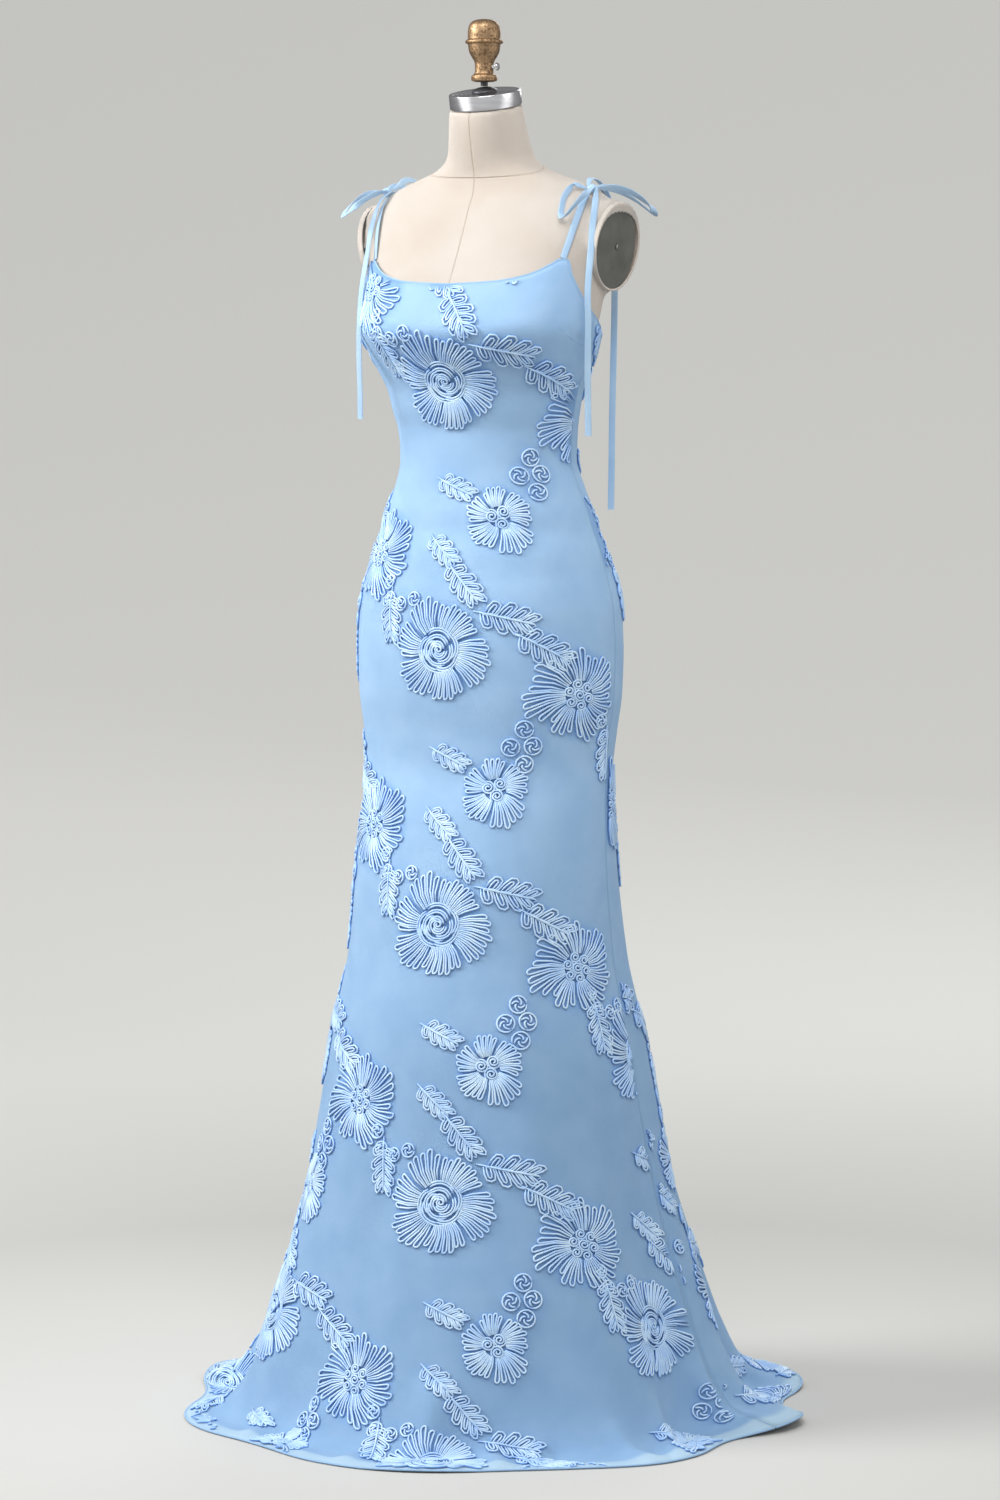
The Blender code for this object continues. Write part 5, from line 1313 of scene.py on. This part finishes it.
def makeTorso(linen):
    low, high = bodyShape["rows"][0][0], bodyShape["rows"][-1][0]

    def place(around, up):
        height = low + (high - low) * up
        point = sectionPoint(around * 360 - 180, height, *(column(height) for column in formAt))
        lean = np.array(onNeck() @ Matrix.Translation(-Vector(bodyShape["neckTop"])))
        tipped = point @ lean[:3, :3].T + lean[:3, 3]
        return np.where((up > 0.999)[:, None], tipped, point)

    work, _ = gridWork(bodyShape["columns"], bodyShape["rowsUp"], place, wraps=True, closed=True)
    for side in (1, -1):
        stub = bmesh.ops.create_cone(work, cap_ends=True, segments=64, radius1=1.0, radius2=1.0,
                                     depth=arms["stub"])
        halfY, halfZ = (half + arms["rim"] for half in arms["half"])
        fit = armMatrix(side, arms["stubMiddle"]) @ Matrix.Diagonal((halfZ, halfY, 1.0, 1.0))
        bmesh.ops.transform(work, matrix=fit, verts=stub["verts"])
    piece = finishPiece("formCover", work, linen, "cream_linen", replaced=["torso"], smooth=0)
    join = piece.modifiers.new("one cover", "REMESH")
    join.mode = "VOXEL"
    join.voxel_size = bodyShape["voxel"]
    join.use_smooth_shade = True
    relax = piece.modifiers.new("relax", "SMOOTH")
    relax.iterations = 4
    relax.factor = 0.5


def makeArmEdge(word, side, linen):
    # the cover turned over the plate's edge, gathered at the top
    wide, high = arms["half"]
    fit = np.array(armMatrix(side))

    def place(around, over):
        angle = math.tau * around
        top = np.clip(np.cos(angle), 0, 1) ** 3          # 1 at the plate's top
        reach = arms["edgeReach"] + arms["gather"] * top
        rippled = np.sin(arms["ripples"] * angle) * top * np.sin(math.pi * np.clip(over * 1.1, 0, 1))
        bent = arms["bend"] * np.sin(arms["bends"] * angle + 1.0) * top
        out = arms["edge"] - reach * np.maximum(0.0, over - 0.5) * 2 + bent
        depth = np.interp(over, (0.0, 0.5, 1.0), arms["edgeDepth"]) + arms["ripple"] * rippled
        local = np.stack([-side * np.cos(angle) * (wide + out), np.sin(angle) * (high + out),
                          depth, np.ones_like(angle)], -1)
        return (local @ fit.T)[:, :3]

    work, _ = gridWork(220, 8, place, wraps=True)
    piece = finishPiece("armEdge" + word.title(), work, linen, "cream_linen", smooth=0)
    wall = piece.modifiers.new("wall", "SOLIDIFY")
    wall.thickness = arms["edgeWall"]
    wall.offset = 0.0


neckParts = {
    "capRadius": 0.0418, "capHigh": 0.0175, "washerRadius": 0.0150, "washerHigh": 0.0055,
    "capEdge": 0.0012, "stemRadius": 0.0042, "finialBase": 1.5500, "domeGap": 0.0011, "capMiddle": 0.0005,
    "capFoot": [(-0.0018, 0.0), (-0.0004, 0.0004), (0.0, 0.0012)],       # from its outer corner below
    "capDish": [(-0.0040, 0.0), (-0.0046, -0.0003)],                     # from its outer corner above
    "finial": [  # radius, height over its underside
        (0.0110, 0.0000), (0.0146, 0.0012), (0.0151, 0.0040), (0.0146, 0.0068), (0.0116, 0.0092),
        (0.0108, 0.0120), (0.0108, 0.0200), (0.0118, 0.0236), (0.0150, 0.0290), (0.0176, 0.0345),
        (0.0186, 0.0410), (0.0190, 0.0432), (0.0216, 0.0440), (0.0219, 0.0458), (0.0212, 0.0474),
        (0.0190, 0.0486), (0.0190, 0.0550), (0.0181, 0.0625), (0.0146, 0.0684), (0.0084, 0.0710),
        (0.0020, 0.0718),
    ],
}
screw = {
    "height": 1.5670, "start": 0.0090, "ridge": 0.0020, "root": 0.86, "pitch": 0.00031, "rows": 20,
    "knob": [(0.0030, 0.0152), (0.0032, 0.0156), (0.004232, 0.0160), (0.0046, 0.0164), (0.0046, 0.0176),
             (0.004232, 0.0181), (0.0023, 0.0182), (0.001932, 0.0186)],          # radius, distance out
    "knurlFrom": 0.00437, "knurls": 20, "knurlDepth": 0.035,
}


def makeNeckParts(steel, dark, brass):
    size = neckParts
    low, edge, radius, high = dressShape["seamGap"], size["capEdge"], size["capRadius"], size["capHigh"]
    corner = [(radius - edge + edge * math.sin(a), high - edge + edge * math.cos(a))
              for a in np.linspace(math.pi / 2, 0, 5)]
    profile = [(radius + out, low + up) for out, up in size["capFoot"]] + corner
    profile += [(radius + out, high + up) for out, up in size["capDish"]]
    profile.append((size["capMiddle"], profile[-1][1]))
    turnedPiece("neckCap", profile, 96, steel, "brushed_steel", matrix=onNeck(), replaced=["neck_cap"], smooth=30)

    dome = [(size["washerRadius"] * math.cos(a), high + low + size["washerHigh"] * math.sin(a))
            for a in map(math.radians, range(0, 76, 8))]
    turnedPiece("neckWasher", dome, 48, dark, "dark_metal", matrix=onNeck(), replaced=["neck_washer"], smooth=60)
    top = onNeck() @ Vector((0, 0, dome[-1][1]))
    aside = Matrix.Translation((0.0, top.y, 0.0))
    stem = [(size["stemRadius"], top.z + size["domeGap"]), (size["stemRadius"], size["finialBase"] - low)]
    turnedPiece("neckStem", stem, 24, dark, "dark_metal", matrix=aside, replaced=["neck_stem"])

    heights = [row[1] for row in size["finial"]]
    radii = smoothThrough(heights, [row[0] for row in size["finial"]])
    fine = sorted(set(heights) | set(np.linspace(0, heights[-1], 70).round(5)))
    profile = [(float(radii(height)), size["finialBase"] + height) for height in fine]
    turnedPiece("finial", profile, 64, brass, "old_brass", matrix=aside, replaced=["finial"], smooth=50)
    return top.y


def makeThumbScrew(middleY, nickel):
    # a fine thread and a knurled head, turned upright and laid on its side
    thread = [(screw["ridge"] * (1.0 if number % 2 else screw["root"]), screw["start"] + screw["pitch"] * number)
              for number in range(screw["rows"])]
    work = turnedWork(thread + screw["knob"], 40)
    for vert in work.verts:
        if math.hypot(vert.co.x, vert.co.y) > screw["knurlFrom"]:
            turn = math.atan2(vert.co.y, vert.co.x)
            groove = 0.5 + 0.5 * math.cos(screw["knurls"] * turn)
            for axis in (0, 1):
                vert.co[axis] *= 1 - screw["knurlDepth"] * groove
    along = Matrix.Rotation(math.radians(90), 4, "Y")
    bmesh.ops.transform(work, matrix=Matrix.Translation((0.0, middleY, screw["height"])) @ along, verts=work.verts)
    finishPiece("thumbScrew", work, nickel, "nickel", body="thumb_screw", replaced=["thumb_screw"], smooth=35)


weave, wear = fineWeave(), softWear()
crepe = dressCrepe(weave)
satin = satinCord(wear)
tie = tieCloth(weave)
linen = linenCover(weave, wear)
steel = brushedSteel(wear)
brass = agedBrass(wear)
plate = plainCoat("plateGrey", wear, finishes["plate"], 0.42)
dark = plainCoat("darkPaint", wear, finishes["paint"], 0.38, 0.6)
nickel = plainCoat("nickelPlate", wear, finishes["nickel"], 0.24, 1.0)
bolt = plainCoat("boltHead", wear, finishes["bolt"], 0.40, 1.0)

setCamera()
setStudio()
makeFloor(studioPaper())
print("camera, lights and floor are set")

for title, panel in panels.items():
    makePanel("panel" + capital(title), panel, crepe)
print("dress panels are laid")
makeEdges(crepe)
makeFlowers(satin)
print("cord flowers are laid")
makeTies(tie)
print("straps, bows and tails are tied")
makeTorso(linen)
for word, side in (("left", 1), ("right", -1)):
    makeArmEdge(word, side, linen)
makeThumbScrew(makeNeckParts(steel, dark, brass), nickel)
print("dress form is covered")

carried = {"arm_plate_left": plate, "arm_plate_right": plate, "plate_bolt_left": bolt,
           "plate_bolt_right": bolt, "zip_slider": nickel, "zip_pull": nickel,
           "stand_pole": dark, "stand_base": dark}
for node, material in carried.items():
    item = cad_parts[node]
    item.data.materials.clear()
    item.data.materials.append(material)

print("all pieces are placed")
